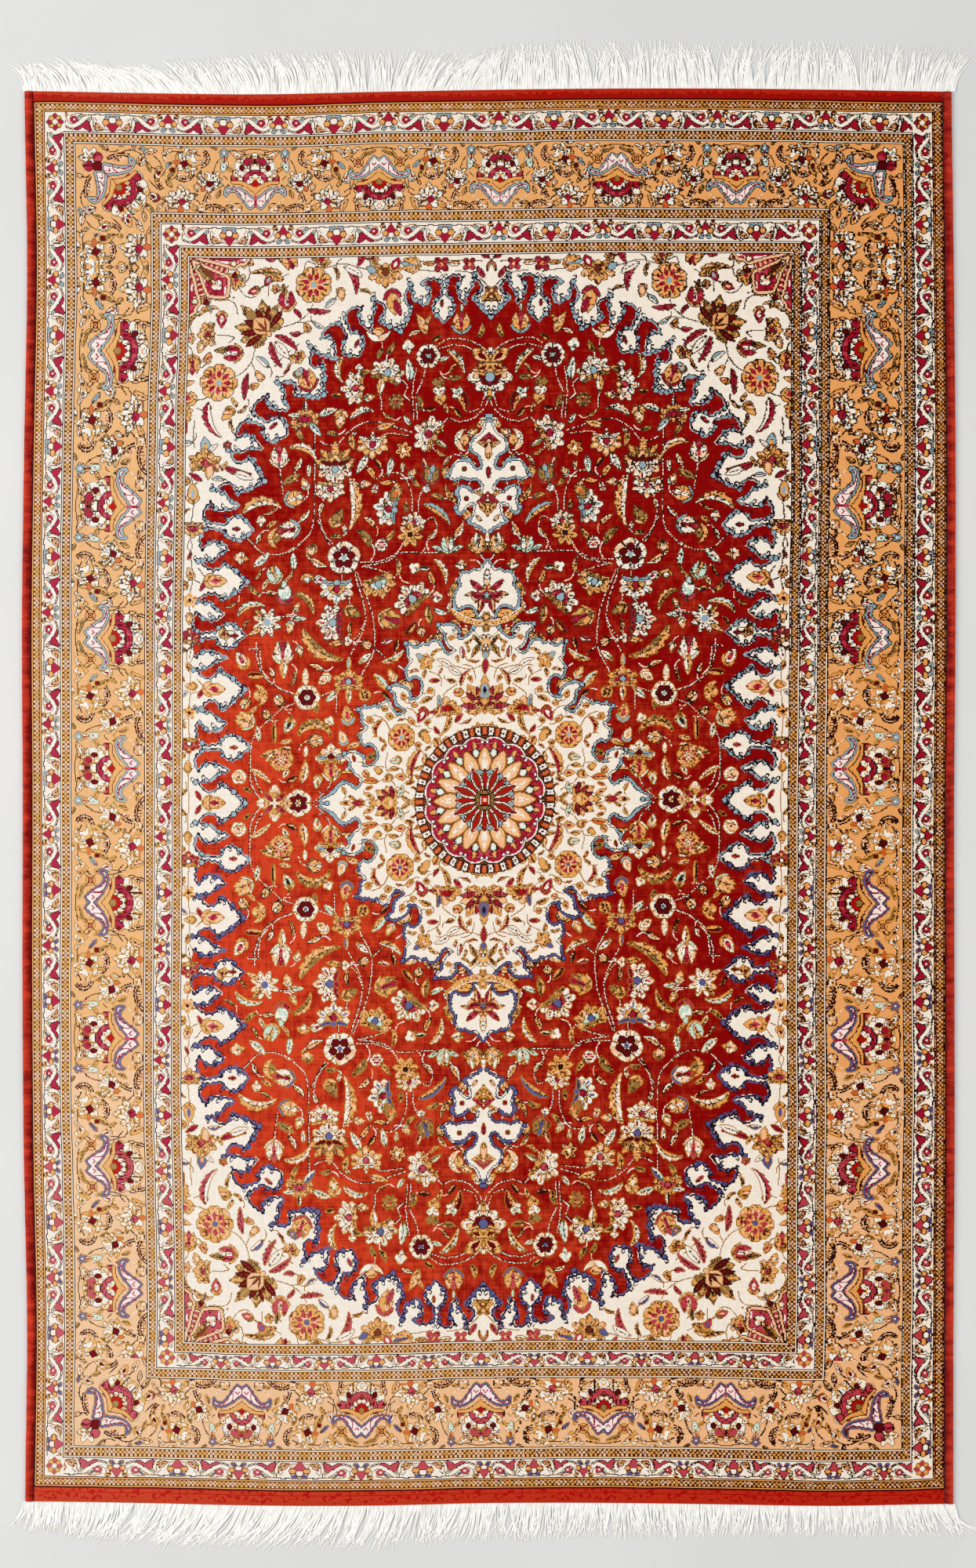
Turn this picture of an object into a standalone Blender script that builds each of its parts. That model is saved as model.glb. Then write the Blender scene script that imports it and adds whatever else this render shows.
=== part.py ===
"""A small hand-knotted silk rug, laid flat.

Metres, +Z up. The origin is the middle of the knotted cloth, on its underside. +X runs to the
right selvedge and +Y to the upper fringe. Five pieces: the knotted cloth, a selvedge along
each side and a fringe along each end, every one a little apart from its neighbour.
"""

import bmesh
import bpy

CLOTH_WIDTH = 1.015
CLOTH_LENGTH = 1.572
CLOTH_THICKNESS = 0.005
CLOTH_EDGE_ROUND = 0.0016
SELVEDGE_WIDTH = 0.010
SELVEDGE_THICKNESS = 0.0046
SELVEDGE_EDGE_ROUND = 0.0017
FRINGE_THICKNESS = 0.0022
FRINGE_ROOT_DEPTH = 0.004
FRINGE_TEETH = 84
TOOTH_ROOT_SHARE = 0.78
TOOTH_TIP_SHARE = 0.44
PIECE_GAP = 0.0003
SIDE_STEPS = 64
END_STEPS = 42

# How far the edge of the cloth stands out (+) or in (-) from a straight line, in metres.
# Stations run from the lower end (-1) to the upper end (1).
SIDE_WANDER = [
    # (station, left, right)
    (-1.00, -0.0017, -0.0010),
    (-0.75, -0.0038, -0.0009),
    (-0.50, -0.0001, 0.0004),
    (-0.25, 0.0013, 0.0002),
    (0.00, 0.0010, -0.0001),
    (0.25, 0.0019, 0.0014),
    (0.50, -0.0006, 0.0014),
    (0.75, -0.0039, -0.0005),
    (1.00, -0.0009, -0.0030),
]
# Stations run from the left side (-1) to the right side (1).
END_WANDER = [
    # (station, upper, lower)
    (-1.00, -0.0006, -0.0030),
    (-0.75, -0.0029, -0.0012),
    (-0.50, -0.0041, 0.0016),
    (-0.25, -0.0014, 0.0017),
    (0.00, 0.0009, -0.0012),
    (0.25, 0.0023, -0.0014),
    (0.50, 0.0023, 0.0001),
    (0.75, 0.0010, 0.0020),
    (1.00, -0.0010, -0.0002),
]
# How far the strands reach from the cloth and how much they lean to the right, as a share of
# their reach.
FRINGE_LIE = [
    # (station, upper reach, upper lean, lower reach, lower lean)
    (-1.00, 0.038, -0.20, 0.034, -0.08),
    (-0.75, 0.044, -0.38, 0.047, -0.38),
    (-0.50, 0.048, -0.22, 0.054, -0.30),
    (-0.25, 0.044, 0.00, 0.051, -0.20),
    (0.00, 0.056, 0.12, 0.047, -0.12),
    (0.25, 0.058, 0.02, 0.041, 0.00),
    (0.50, 0.058, 0.00, 0.040, 0.06),
    (0.75, 0.058, 0.05, 0.036, 0.02),
    (1.00, 0.053, 0.28, 0.042, 0.42),
]
# Neighbouring teeth differ in reach by this repeating share.
TOOTH_REACH_SHARES = (1.00, 0.94, 0.98, 0.91, 0.97)

SILK_RED = (0.42, 0.03, 0.015, 1.0)
SELVEDGE_RED = (0.36, 0.02, 0.012, 1.0)
SILK_IVORY = (0.80, 0.76, 0.68, 1.0)


def along(table, column, station):
    """The column's value at a station, on a Catmull-Rom curve through the table's rows."""
    count = len(table)
    place = (station - table[0][0]) / (table[-1][0] - table[0][0]) * (count - 1)
    first = min(max(int(place), 0), count - 2)
    t = place - first
    a, b, c, d = (
        table[min(max(row, 0), count - 1)][column] for row in range(first - 1, first + 3)
    )
    bend = 2 * a - 5 * b + 4 * c - d
    twist = 3 * b - a - 3 * c + d
    return b + 0.5 * t * ((c - a) + t * (bend + t * twist))


def side_edge(sign, y, outside=0.0):
    """A point on the left (-1) or right (1) edge of the cloth, or that far outside it."""
    column = 1 if sign < 0 else 2
    wander = along(SIDE_WANDER, column, y / (CLOTH_LENGTH / 2))
    return sign * (CLOTH_WIDTH / 2 + wander + outside)


def end_edge(sign, x, outside=0.0):
    """A point on the lower (-1) or upper (1) edge of the cloth, or that far outside it."""
    column = 1 if sign > 0 else 2
    wander = along(END_WANDER, column, x / (CLOTH_WIDTH / 2))
    return sign * (CLOTH_LENGTH / 2 + wander + outside)


def steps(low, high, count):
    return [low + (high - low) * step / count for step in range(count + 1)]


def silk(name, colour, roughness):
    """A plain silk finish."""
    material = bpy.data.materials.new(name)
    material.use_nodes = True
    shader = material.node_tree.nodes["Principled BSDF"]
    shader.inputs["Base Color"].default_value = colour
    shader.inputs["Roughness"].default_value = roughness
    shader.inputs["Metallic"].default_value = 0.0
    material.diffuse_color = colour
    return material


def flat_piece(name, outline, thickness, material, collection):
    """A flat outline extruded up from the floor, as one closed mesh."""
    curve = bpy.data.curves.new(name + "_outline", "CURVE")
    curve.dimensions = "2D"
    curve.fill_mode = "BOTH"
    curve.extrude = thickness / 2
    spline = curve.splines.new("POLY")
    spline.points.add(len(outline) - 1)
    for point, (x, y) in zip(spline.points, outline):
        point.co = (x, y, 0.0, 1.0)
    spline.use_cyclic_u = True
    guide = bpy.data.objects.new(name + "_outline", curve)
    guide.location.z = thickness / 2
    collection.objects.link(guide)
    bpy.context.view_layer.update()
    graph = bpy.context.evaluated_depsgraph_get()
    mesh = bpy.data.meshes.new_from_object(guide.evaluated_get(graph))
    mesh.transform(guide.matrix_world)
    mesh.name = name
    bpy.data.objects.remove(guide)
    shape = bmesh.new()
    shape.from_mesh(mesh)
    bmesh.ops.remove_doubles(shape, verts=shape.verts, dist=0.00001)
    bmesh.ops.recalc_face_normals(shape, faces=shape.faces)
    shape.to_mesh(mesh)
    shape.free()
    mesh.materials.clear()
    mesh.materials.append(material)
    piece = bpy.data.objects.new(name, mesh)
    collection.objects.link(piece)
    return piece


def round_upper_rim(piece, width):
    """Rounds the rim where the upper face meets the sides. The underside stays whole."""
    shape = bmesh.new()
    shape.from_mesh(piece.data)
    top = max(vertex.co.z for vertex in shape.verts)
    rim = [
        edge
        for edge in shape.edges
        if all(top - vertex.co.z < 0.00001 for vertex in edge.verts)
        and edge.calc_face_angle(0.0) > 1.0
    ]
    bmesh.ops.bevel(
        shape,
        geom=rim,
        offset=width,
        segments=2,
        profile=0.5,
        affect="EDGES",
        clamp_overlap=True,
    )
    shape.to_mesh(piece.data)
    shape.free()


def cloth_outline():
    """The wandering edge of the knotted cloth, counter-clockwise from the lower left."""
    half_width = CLOTH_WIDTH / 2
    half_length = CLOTH_LENGTH / 2
    left = [(side_edge(-1, y), y) for y in steps(half_length, -half_length, SIDE_STEPS)]
    right = [(side_edge(1, y), y) for y in steps(-half_length, half_length, SIDE_STEPS)]
    lower = [(x, end_edge(-1, x)) for x in steps(-half_width, half_width, END_STEPS)]
    upper = [(x, end_edge(1, x)) for x in steps(half_width, -half_width, END_STEPS)]
    corners = [
        (side_edge(-1, -half_length), end_edge(-1, -half_width)),
        (side_edge(1, -half_length), end_edge(-1, half_width)),
        (side_edge(1, half_length), end_edge(1, half_width)),
        (side_edge(-1, half_length), end_edge(1, -half_width)),
    ]
    outline = []
    for corner, run in zip(corners, (lower, right, upper, left)):
        outline += [corner] + run[1:-1]
    return outline


def selvedge_outline(sign):
    """A strip along one side, a gap away from the cloth, as long as the side."""
    corner_x = sign * CLOTH_WIDTH / 2
    low = end_edge(-1, corner_x)
    high = end_edge(1, corner_x)
    runs = steps(low, high, SIDE_STEPS)
    inner = [(side_edge(sign, y, PIECE_GAP), y) for y in runs]
    outer = [(side_edge(sign, y, PIECE_GAP + SELVEDGE_WIDTH), y) for y in reversed(runs)]
    return inner + outer


def fringe_outline(sign):
    """One comb: a straight root along the end of the cloth, with a tooth for each tuft."""
    reach_column = 1 if sign > 0 else 3
    half = CLOTH_WIDTH / 2 + PIECE_GAP + SELVEDGE_WIDTH
    pitch = 2 * half / FRINGE_TEETH
    root = [(x, end_edge(sign, x, PIECE_GAP)) for x in steps(half, -half, END_STEPS)]
    teeth = []
    for tooth in range(FRINGE_TEETH):
        middle = -half + (tooth + 0.5) * pitch
        station = middle / half
        share = TOOTH_REACH_SHARES[tooth % len(TOOTH_REACH_SHARES)]
        reach = share * along(FRINGE_LIE, reach_column, station)
        lean = along(FRINGE_LIE, reach_column + 1, station) * reach
        root_half = pitch * TOOTH_ROOT_SHARE / 2
        tip_half = pitch * TOOTH_TIP_SHARE / 2
        for offset, shift, depth in (
            (-root_half, 0.0, FRINGE_ROOT_DEPTH),
            (-tip_half, lean, reach),
            (tip_half, lean, reach),
            (root_half, 0.0, FRINGE_ROOT_DEPTH),
        ):
            edge = end_edge(sign, middle, PIECE_GAP + depth)
            teeth.append((middle + offset + shift, edge))
    left_root = [(-half, end_edge(sign, -half, PIECE_GAP + FRINGE_ROOT_DEPTH))]
    right_root = [(half, end_edge(sign, half, PIECE_GAP + FRINGE_ROOT_DEPTH))]
    outline = root + left_root + teeth + right_root
    return outline if sign < 0 else outline[::-1]


for leftover in list(bpy.data.objects):
    bpy.data.objects.remove(leftover)

rug_collection = bpy.data.collections.new("silk_rug")
bpy.context.scene.collection.children.link(rug_collection)

pile_silk = silk("silk_pile", SILK_RED, 0.55)
binding_silk = silk("silk_overcasting", SELVEDGE_RED, 0.5)
fringe_silk = silk("silk_fringe", SILK_IVORY, 0.6)

cloth = flat_piece("rug", cloth_outline(), CLOTH_THICKNESS, pile_silk, rug_collection)
round_upper_rim(cloth, CLOTH_EDGE_ROUND)

for side_name, side_sign in (("selvedge_left", -1), ("selvedge_right", 1)):
    selvedge = flat_piece(
        side_name,
        selvedge_outline(side_sign),
        SELVEDGE_THICKNESS,
        binding_silk,
        rug_collection,
    )
    round_upper_rim(selvedge, SELVEDGE_EDGE_ROUND)

for end_name, end_sign in (("fringe_top", 1), ("fringe_bottom", -1)):
    flat_piece(
        end_name, fringe_outline(end_sign), FRINGE_THICKNESS, fringe_silk, rug_collection
    )
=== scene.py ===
"""Looks of a small hand-knotted silk medallion rug, laid flat and seen from straight above.

Metres, +Z up, the rug's middle at the origin and its upper fringe towards +Y. The pattern is
a knot plan: one number for each knot, in knots of one millimetre, worked out by arrays.
"""

import math

import bpy
import numpy as np
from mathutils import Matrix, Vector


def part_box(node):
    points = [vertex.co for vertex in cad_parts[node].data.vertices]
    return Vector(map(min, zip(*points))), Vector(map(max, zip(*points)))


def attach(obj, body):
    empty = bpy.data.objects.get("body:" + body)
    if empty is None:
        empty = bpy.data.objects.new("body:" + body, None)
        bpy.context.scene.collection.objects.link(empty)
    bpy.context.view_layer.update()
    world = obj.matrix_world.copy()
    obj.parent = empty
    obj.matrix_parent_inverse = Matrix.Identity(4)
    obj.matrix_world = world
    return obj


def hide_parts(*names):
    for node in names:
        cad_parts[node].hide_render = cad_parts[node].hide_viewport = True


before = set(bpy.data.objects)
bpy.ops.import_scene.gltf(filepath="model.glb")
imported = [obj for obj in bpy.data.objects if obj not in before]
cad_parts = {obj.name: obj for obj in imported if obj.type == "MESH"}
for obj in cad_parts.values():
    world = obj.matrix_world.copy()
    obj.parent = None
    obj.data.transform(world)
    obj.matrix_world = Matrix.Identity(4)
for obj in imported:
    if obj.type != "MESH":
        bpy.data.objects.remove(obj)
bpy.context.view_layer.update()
scene = bpy.context.scene

# ---------------------------------------------------------------------------------------
# View. The rug lies on a plain pale floor under soft daylight from large windows and is
# seen from straight above, square to its sides.

MM = 0.001
PHOTO_WIDTH_PX = 1245
PHOTO_HEIGHT_PX = 2000
MM_PER_PX = 0.8714
PILE_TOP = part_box("rug")[1][2]
CAMERA_HEIGHT = 3.4
SENSOR_MM = 36.0
RUG_MIDDLE_PX = (623.7, 1017.1)


def linear(hex_colour, alpha=1.0):
    """An sRGB hex colour as linear light: the sRGB curve undone for each channel."""
    channels = [int(hex_colour[i:i + 2], 16) / 255 for i in (1, 3, 5)]
    curve = [c / 12.92 if c <= 0.04045 else ((c + 0.055) / 1.055) ** 2.4 for c in channels]
    return (*curve, alpha)


def add_node(tree, kind, inputs=None, **settings):
    """Adds a node, sets its properties, and sets or links its inputs by name or number."""
    node = tree.nodes.new(kind)
    for name, value in settings.items():
        setattr(node, name, value)
    for name, value in (inputs or {}).items():
        if isinstance(value, bpy.types.NodeSocket):
            tree.links.new(value, node.inputs[name])
        else:
            node.inputs[name].default_value = value
    return node


def new_material(name):
    """A node material that holds nothing but its output node."""
    material = bpy.data.materials.new(name)
    material.use_nodes = True
    tree = material.node_tree
    tree.nodes.clear()
    output = tree.nodes.new("ShaderNodeOutputMaterial")
    return material, tree, output


def two_tones(tree, share, first, last, positions=(0.0, 1.0)):
    """A colour that runs from the first tone to the last as the share rises."""
    ramp = add_node(tree, "ShaderNodeValToRGB", {"Fac": share})
    for element, tone, position in zip(ramp.color_ramp.elements, (first, last), positions):
        element.color = linear(tone)
        element.position = position
    return ramp.outputs["Color"]


def coat(tree, output, inputs):
    """Gives a material its surface: one principled shader."""
    surface = add_node(tree, "ShaderNodeBsdfPrincipled", inputs)
    tree.links.new(surface.outputs["BSDF"], output.inputs["Surface"])


camera_data = bpy.data.cameras.new("overhead_camera")
camera_data.sensor_fit = "AUTO"
camera_data.sensor_width = SENSOR_MM
frame_height = PHOTO_HEIGHT_PX * MM_PER_PX * MM
camera_data.lens = SENSOR_MM * (CAMERA_HEIGHT - PILE_TOP) / frame_height
camera = bpy.data.objects.new("overhead_camera", camera_data)
camera.location = (
    (PHOTO_WIDTH_PX / 2 - RUG_MIDDLE_PX[0]) * MM_PER_PX * MM,
    (RUG_MIDDLE_PX[1] - PHOTO_HEIGHT_PX / 2) * MM_PER_PX * MM,
    CAMERA_HEIGHT,
)
scene.collection.objects.link(camera)
scene.camera = camera
scene.view_settings.view_transform = "Standard"

FLOOR_SIZE = 40.0
FLOOR_LEVEL = -0.1 * MM
floor_mesh = bpy.data.meshes.new("pale_floor")
half = FLOOR_SIZE / 2
floor_mesh.from_pydata(
    [(x, y, FLOOR_LEVEL) for x, y in ((-half, -half), (half, -half), (half, half), (-half, half))],
    [], [(0, 1, 2, 3)],
)
floor = bpy.data.objects.new("pale_floor", floor_mesh)
scene.collection.objects.link(floor)

# Fine cement screed, ground and sealed: matt, pale grey, faintly cloudy.
screed, tree, output = new_material("sealed_cement_screed")
coords = add_node(tree, "ShaderNodeTexCoord")
clouds = add_node(
    tree, "ShaderNodeTexNoise",
    {"Vector": coords.outputs["Object"], "Scale": 2.2, "Detail": 6.0, "Roughness": 0.6},
)
grey = two_tones(tree, clouds.outputs["Fac"], "#D8D8D5", "#DEDDDA", (0.35, 0.65))
coat(tree, output, {"Base Color": grey, "Roughness": 0.7})
floor_mesh.materials.append(screed)

world = bpy.data.worlds.new("studio_surround")
world.use_nodes = True
sky = world.node_tree.nodes["Background"]
sky.inputs["Color"].default_value = linear("#F4F6F8")
sky.inputs["Strength"].default_value = 0.62
scene.world = world

SOFTBOXES = [
    # (name, x, y, z, side, watts)
    ("window_left", -2.9, 0.2, 2.6, 2.4, 88.0),
    ("window_right", 2.4, -0.4, 2.8, 2.4, 29.0),
]
for name, x, y, z, side, watts in SOFTBOXES:
    light = bpy.data.lights.new(name, "AREA")
    light.shape = "SQUARE"
    light.size = side
    light.energy = watts
    lamp = bpy.data.objects.new(name, light)
    lamp.location = (x, y, z)
    lamp.rotation_euler = (-lamp.location).to_track_quat("-Z", "Y").to_euler()
    scene.collection.objects.link(lamp)

# ---------------------------------------------------------------------------------------
# Knot chart. A weaver ties one silk knot at a time from a squared chart, and this is that
# chart: one number for each knot, which names a dyed silk. One knot is one millimetre.

CLOTH_WIDTH = 1015
CLOTH_LENGTH = 1572

SILKS = [
    # (letter, colour, what it dyes)
    (".", "#A31410", "red field"),
    ("i", "#F0E4D5", "ivory ground"),
    ("w", "#EFE6D8", "bleached white"),
    ("p", "#EDBE96", "peach"),
    ("P", "#F3DEDA", "pale pink of the wings"),
    ("g", "#E4A862", "apricot gold"),
    ("G", "#E7AE74", "gold ground, upper lots"),
    ("H", "#EBBC90", "gold ground, lower lots"),
    ("o", "#A27C46", "olive"),
    ("s", "#5C442A", "thin olive stems and edges"),
    ("S", "#A8742C", "amber edges, lower lots"),
    ("u", "#7E3E22", "brown"),
    ("k", "#3A1A14", "dark brown"),
    ("n", "#1E1A30", "navy line"),
    ("b", "#9AB0B6", "light blue"),
    ("B", "#66658F", "violet blue, lower lots"),
    ("m", "#C6DACB", "mint"),
    ("c", "#AA223C", "crimson"),
    ("C", "#C24E58", "rose crimson, lower lots"),
    ("d", "#6C0A10", "dark red"),
    ("r", "#B3160F", "clear red"),
    ("q", "#D86A3A", "orange"),
    ("e", "#A8200F", "red of the end bands"),
    ("E", "#C23A20", "red of the end bands, outer rows"),
]
INK = {letter: number for number, (letter, colour, use) in enumerate(SILKS)}


def near(chart, x, y, turn, reach):
    """The knots of a chart within reach of a place, and where they lie as seen from it: u to
    the right and v forward, after a clockwise turn in degrees. Charts have y upwards."""
    high, wide = chart.shape
    left, right = max(int(x - reach), 0), min(int(x + reach) + 1, wide)
    top, low = max(int(high - y - reach), 0), min(int(high - y + reach) + 1, high)
    dx, dy = np.meshgrid(np.arange(left, right) + 0.5 - x, high - 0.5 - np.arange(top, low) - y)
    return (chart[top:low, left:right], *turned(dx, dy, turn))


def ragged(line, depth, pitch):
    """A smooth closed line with small uneven scallops: each of its points moves square to the
    line by depth times |sine| of the way along it in pitches, deeper and shallower by turns."""
    ahead = np.roll(line, -1, axis=0) - line
    step = np.hypot(*ahead.T)[:, None]
    way = np.cumsum(step)[:, None] / pitch * math.pi
    shift = np.abs(np.sin(way)) * (0.6 + 0.4 * np.sin(way * 0.37)) - 0.4
    return line + depth * shift * np.stack([-ahead[:, 1], ahead[:, 0]], -1) / np.maximum(step, 1e-6)


def hash_noise(x, y, seed):
    """Smooth noise from -1 to 1: random values on a grid, joined by smoothstep curves."""
    table = np.random.default_rng(seed).uniform(-1, 1, (64, 64))
    column, row = np.floor(x).astype(int), np.floor(y).astype(int)
    s, t = x - column, y - row
    s, t = s * s * (3 - 2 * s), t * t * (3 - 2 * t)
    low = table[row % 64, column % 64] * (1 - s) + table[row % 64, (column + 1) % 64] * s
    row = row + 1
    high = table[row % 64, column % 64] * (1 - s) + table[row % 64, (column + 1) % 64] * s
    return low * (1 - t) + high * t


def ribbon(chart, inside, inks, rim=False):
    """Edges a shape: a dark line, then a band that swells and thins and turns to white here and
    there as the weaver shaded it, and a second dark line round it where there is a rim. Silks:
    the shape's own, the line's and the band's."""
    row, column = np.mgrid[:chart.shape[0], :chart.shape[1]]
    swell = hash_noise(column / 7, row / 7, 21)
    line = grow(inside) | (grow(inside, 2) & (swell > -0.1) & (not rim))
    band = grow(line) | (grow(line, 2) & ((swell < -0.1) | rim)) | (grow(line, 4) & (swell < -0.6))
    if rim:
        chart[grow(band)] = INK[inks[1]]
    white = band & (swell > 0.5)
    for mask, ink in ((band, inks[2]), (white, inks[0]), (line, inks[1]), (inside, inks[0])):
        chart[mask] = INK[ink]


def worked(chart, held, silks, seed):
    """Breaks up motifs as a weaver draws petals. For each silk, a second one follows the thin
    lines where smooth noise crosses zero, and a third one fills the places where it peaks."""
    row, column = np.mgrid[:chart.shape[0], :chart.shape[1]]
    noise = hash_noise(column / 3.3, row / 3.3, seed)
    for silk, line, patchy in silks:
        here = held & (chart == INK[silk])
        chart[here & (noise > 0.4)] = INK[patchy]
        chart[here & (np.abs(noise) < 0.11)] = INK[line]


def turned(u, v, degrees, forward=0.0):
    """Places as seen after a clockwise turn, and then from a point that far forward."""
    angle = math.radians(degrees)
    across = u * math.cos(angle) - v * math.sin(angle)
    return across, u * math.sin(angle) + v * math.cos(angle) - forward


def grow(mask, times=1):
    """The mask with every knot above, below and beside it, as often as asked."""
    for _ in range(times):
        wide = np.pad(mask, 1)
        mask = mask | wide[2:, 1:-1] | wide[:-2, 1:-1] | wide[1:-1, 2:] | wide[1:-1, :-2]
    return mask


def dye(patch, mask, inks):
    """Ties the masked knots in the first silk, and a ring of one knot round them in each
    further one."""
    rings = [mask]
    for _ in inks[1:]:
        rings.append(grow(rings[-1]))
    for ink, ring in reversed(list(zip(inks, rings))):
        patch[ring] = INK[ink]


def spot(chart, x, y, radius, inks):
    """A round spot, ringed."""
    patch, u, v = near(chart, x, y, 0, radius + len(inks))
    dye(patch, np.hypot(u, v) < radius, inks)


def petal(u, v, length, width, belly=1.0, teeth=0):
    """A pointed petal from the origin forward. Half its width is a sine of the way along it,
    a belly over 1 puts the widest place further out, and teeth notch its edges."""
    way = np.clip(v / length, 0, 1)
    notch = 1 - 0.4 * ((way * teeth) % 1)
    return np.abs(u) < width / 2 * np.sin(np.pi * way ** belly) * notch


def bent(u, v, length, bend):
    """Places beside and along a stem curved to the right by bend degrees, with its middle at
    the origin and heading forward there: the radius is the length over the bend."""
    if not bend:
        return u, v + length / 2
    radius = length / math.radians(bend)
    way = np.sign(radius)
    across = radius - way * np.hypot(radius - u, v)
    return across, abs(radius) * np.arctan2(v, way * (radius - u)) + length / 2


def spokes(u, v, count, spread=360.0):
    """Radius, place beside the nearest of count spokes, and 0 to 1 for how near it is; the
    spokes share out the spread about the forward direction."""
    radius, angle = np.hypot(u, v), np.degrees(np.arctan2(u, v))
    step, angle = spread / count, angle + spread / 2
    nearest = np.clip(angle // step, 0, count - 1)
    offset = angle % step - step / 2 if spread == 360.0 else angle - step * (nearest + 0.5)
    middle = np.cos(np.pi * np.clip(offset / step, -0.5, 0.5))
    return radius, radius * np.sin(np.radians(offset)), middle


def smooth(points, closed=False, spacing=0.4):
    """Points close together on a Catmull-Rom curve through the given ones."""
    points = np.array(points, float)
    before, after = 2 * points[:1] - points[1:2], 2 * points[-1:] - points[-2:-1]
    if closed:
        before, after = points[-1:], points[:2]
    padded = np.concatenate([before, points, after])
    runs = []
    for a, b, c, d in zip(padded, padded[1:], padded[2:], padded[3:]):
        count = max(int(np.hypot(*(c - b)) / spacing), 1)
        t = (np.arange(count) / count)[:, None]
        square, cube = 2 * a - 5 * b + 4 * c - d, 3 * b - a - 3 * c + d
        runs.append(b + 0.5 * t * ((c - a) + t * (square + t * cube)))
    return np.concatenate(runs + ([] if closed else [points[-1:]]))


def stroke(chart, points, inks, width=1.0, tip=None, over=None):
    """A line through the points, which narrows from its width to its tip's width. It may be
    kept to the knots of one silk."""
    path = smooth(points)
    tip = width if tip is None else tip
    thick = np.linspace(width, tip, len(path)) / 2
    mask = np.zeros(chart.shape, bool)
    reach = int(thick.max() + 0.5)
    for across in range(-reach, reach + 1):
        for up in range(-reach, reach + 1):
            spots = path[np.hypot(across, up) <= thick + 0.1] + (across, up)
            column = np.floor(spots[:, 0]).astype(int)
            row = np.floor(chart.shape[0] - spots[:, 1]).astype(int)
            held = (column >= 0) & (column < chart.shape[1]) & (row >= 0) & (row < chart.shape[0])
            mask[row[held], column[held]] = True
    if over is not None:
        mask &= chart == INK[over]
    dye(chart, mask, inks)
    return mask


def placed(points, x, y, turn, side=1):
    """An outline drawn upright about the origin, mirrored if asked, turned and moved."""
    points = np.array(points, float) * (side, 1)
    across, along = turned(points[:, 0], points[:, 1], -turn)
    return np.stack([across + x, along + y], -1)


def within(shape, outline):
    """Which knots of a chart lie inside a closed outline: an odd number of its edges is
    crossed on the way to the left."""
    x, y = np.meshgrid(np.arange(shape[1]) + 0.5, shape[0] - 0.5 - np.arange(shape[0]))
    inside = np.zeros(shape, bool)
    for (x0, y0), (x1, y1) in zip(outline, np.roll(outline, -1, axis=0)):
        low, high = sorted((y0, y1))
        rows = slice(max(int(shape[0] - high - 1), 0), max(int(shape[0] - low + 1), 0))
        part_y = y[rows]
        if y0 != y1:
            cross = x0 + (part_y - y0) * (x1 - x0) / (y1 - y0)
            inside[rows] ^= ((y0 > part_y) != (y1 > part_y)) & (x[rows] > cross)
    return inside


# The motifs. Each takes a chart, the place of its middle, the way it points (clockwise from
# up), its size, and its silks: one letter for each of its parts and the last for its edge.

def rosette(chart, x, y, turn, size, inks, petals=6):
    """A flower seen from above: round petals with a dark drop in each, and a round eye."""
    patch, u, v = near(chart, x, y, turn, size)
    radius, beside, middle = spokes(u, v, petals)
    way = radius / size * 2
    dye(patch, way < 0.84 + 0.16 * middle ** 0.5, inks[0] + inks[3])
    patch[(middle < 0.2) & (way > 0.55) & (way < 0.86)] = INK[inks[3]]
    broad = size / petals * (0.5 if petals > 6 else 0.62)
    drops = np.abs(beside) < broad * np.sin(np.pi * np.clip((way - 0.2) / 0.5, 0, 1) ** 1.3)
    dye(patch, drops, inks[1] + "k" * (size > 22 and petals < 7))
    dye(patch, way < 0.15, inks[2])


def star(chart, x, y, turn, size, inks, petals=8):
    """A flower of pointed petals with a small eye."""
    patch, u, v = near(chart, x, y, turn, size)
    radius, beside, middle = spokes(u, v, petals)
    way = radius / size * 2
    dye(patch, way < 0.5 + 0.5 * middle ** 1.5, inks[0] + inks[2])
    patch[(np.abs(beside) < 0.5) & (way > 0.3) & (way < 0.7)] = INK[inks[2]]
    dye(patch, way < 0.24, inks[1])


def palmette(chart, x, y, turn, size, inks, petals=7):
    """A flower seen from the side: a fan of pointed petals, long and short by turns and parted
    by dark lines, over a dome with a heart, and two curled sepals at its foot."""
    patch, u, v = near(chart, x, y, turn, size)
    v = v + size * 0.32
    radius, beside, middle = spokes(u, v, petals, 210.0)
    short = np.abs(np.round(np.degrees(np.arctan2(u, v)) / (210 / petals))) % 2
    ahead = v > -size * 0.16
    fan = radius < size * (0.5 + (0.24 - 0.11 * short) * middle ** 0.8)
    dye(patch, fan & ahead, inks[0] + inks[4])
    seam = (middle < 0.2) & (radius > size * 0.3) & (radius < size * 0.55) & (radius % 5 < 3.8)
    patch[seam & ahead] = INK["k"]
    rib = (np.abs(beside) < size * 0.035) & (radius > size * 0.42) & (radius < size * 0.6)
    patch[rib & (short < 1) & ahead] = INK[inks[3]]
    dye(patch, (radius < size * (0.3 + 0.06 * middle)) & (v > -size * 0.1), inks[1] + inks[4])
    dye(patch, petal(u, v + size * 0.05, size * 0.36, size * 0.26), inks[2] + "k")
    for side in (-1, 1):
        sepal_u, sepal_v = turned(u, v + size * 0.1, side * 75)
        sepal_u = sepal_u - side * sepal_v ** 2 / size * 0.9
        dye(patch, petal(sepal_u, sepal_v, size * 0.55, size * 0.2, 1, 3), inks[3] + inks[4])
        patch[(np.abs(sepal_u) < 0.5) & (sepal_v > 1) & (sepal_v < size * 0.45)] = INK["k"]
    dye(patch, np.hypot(u, v + size * 0.12) < size * 0.1, inks[3] + inks[4])


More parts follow.
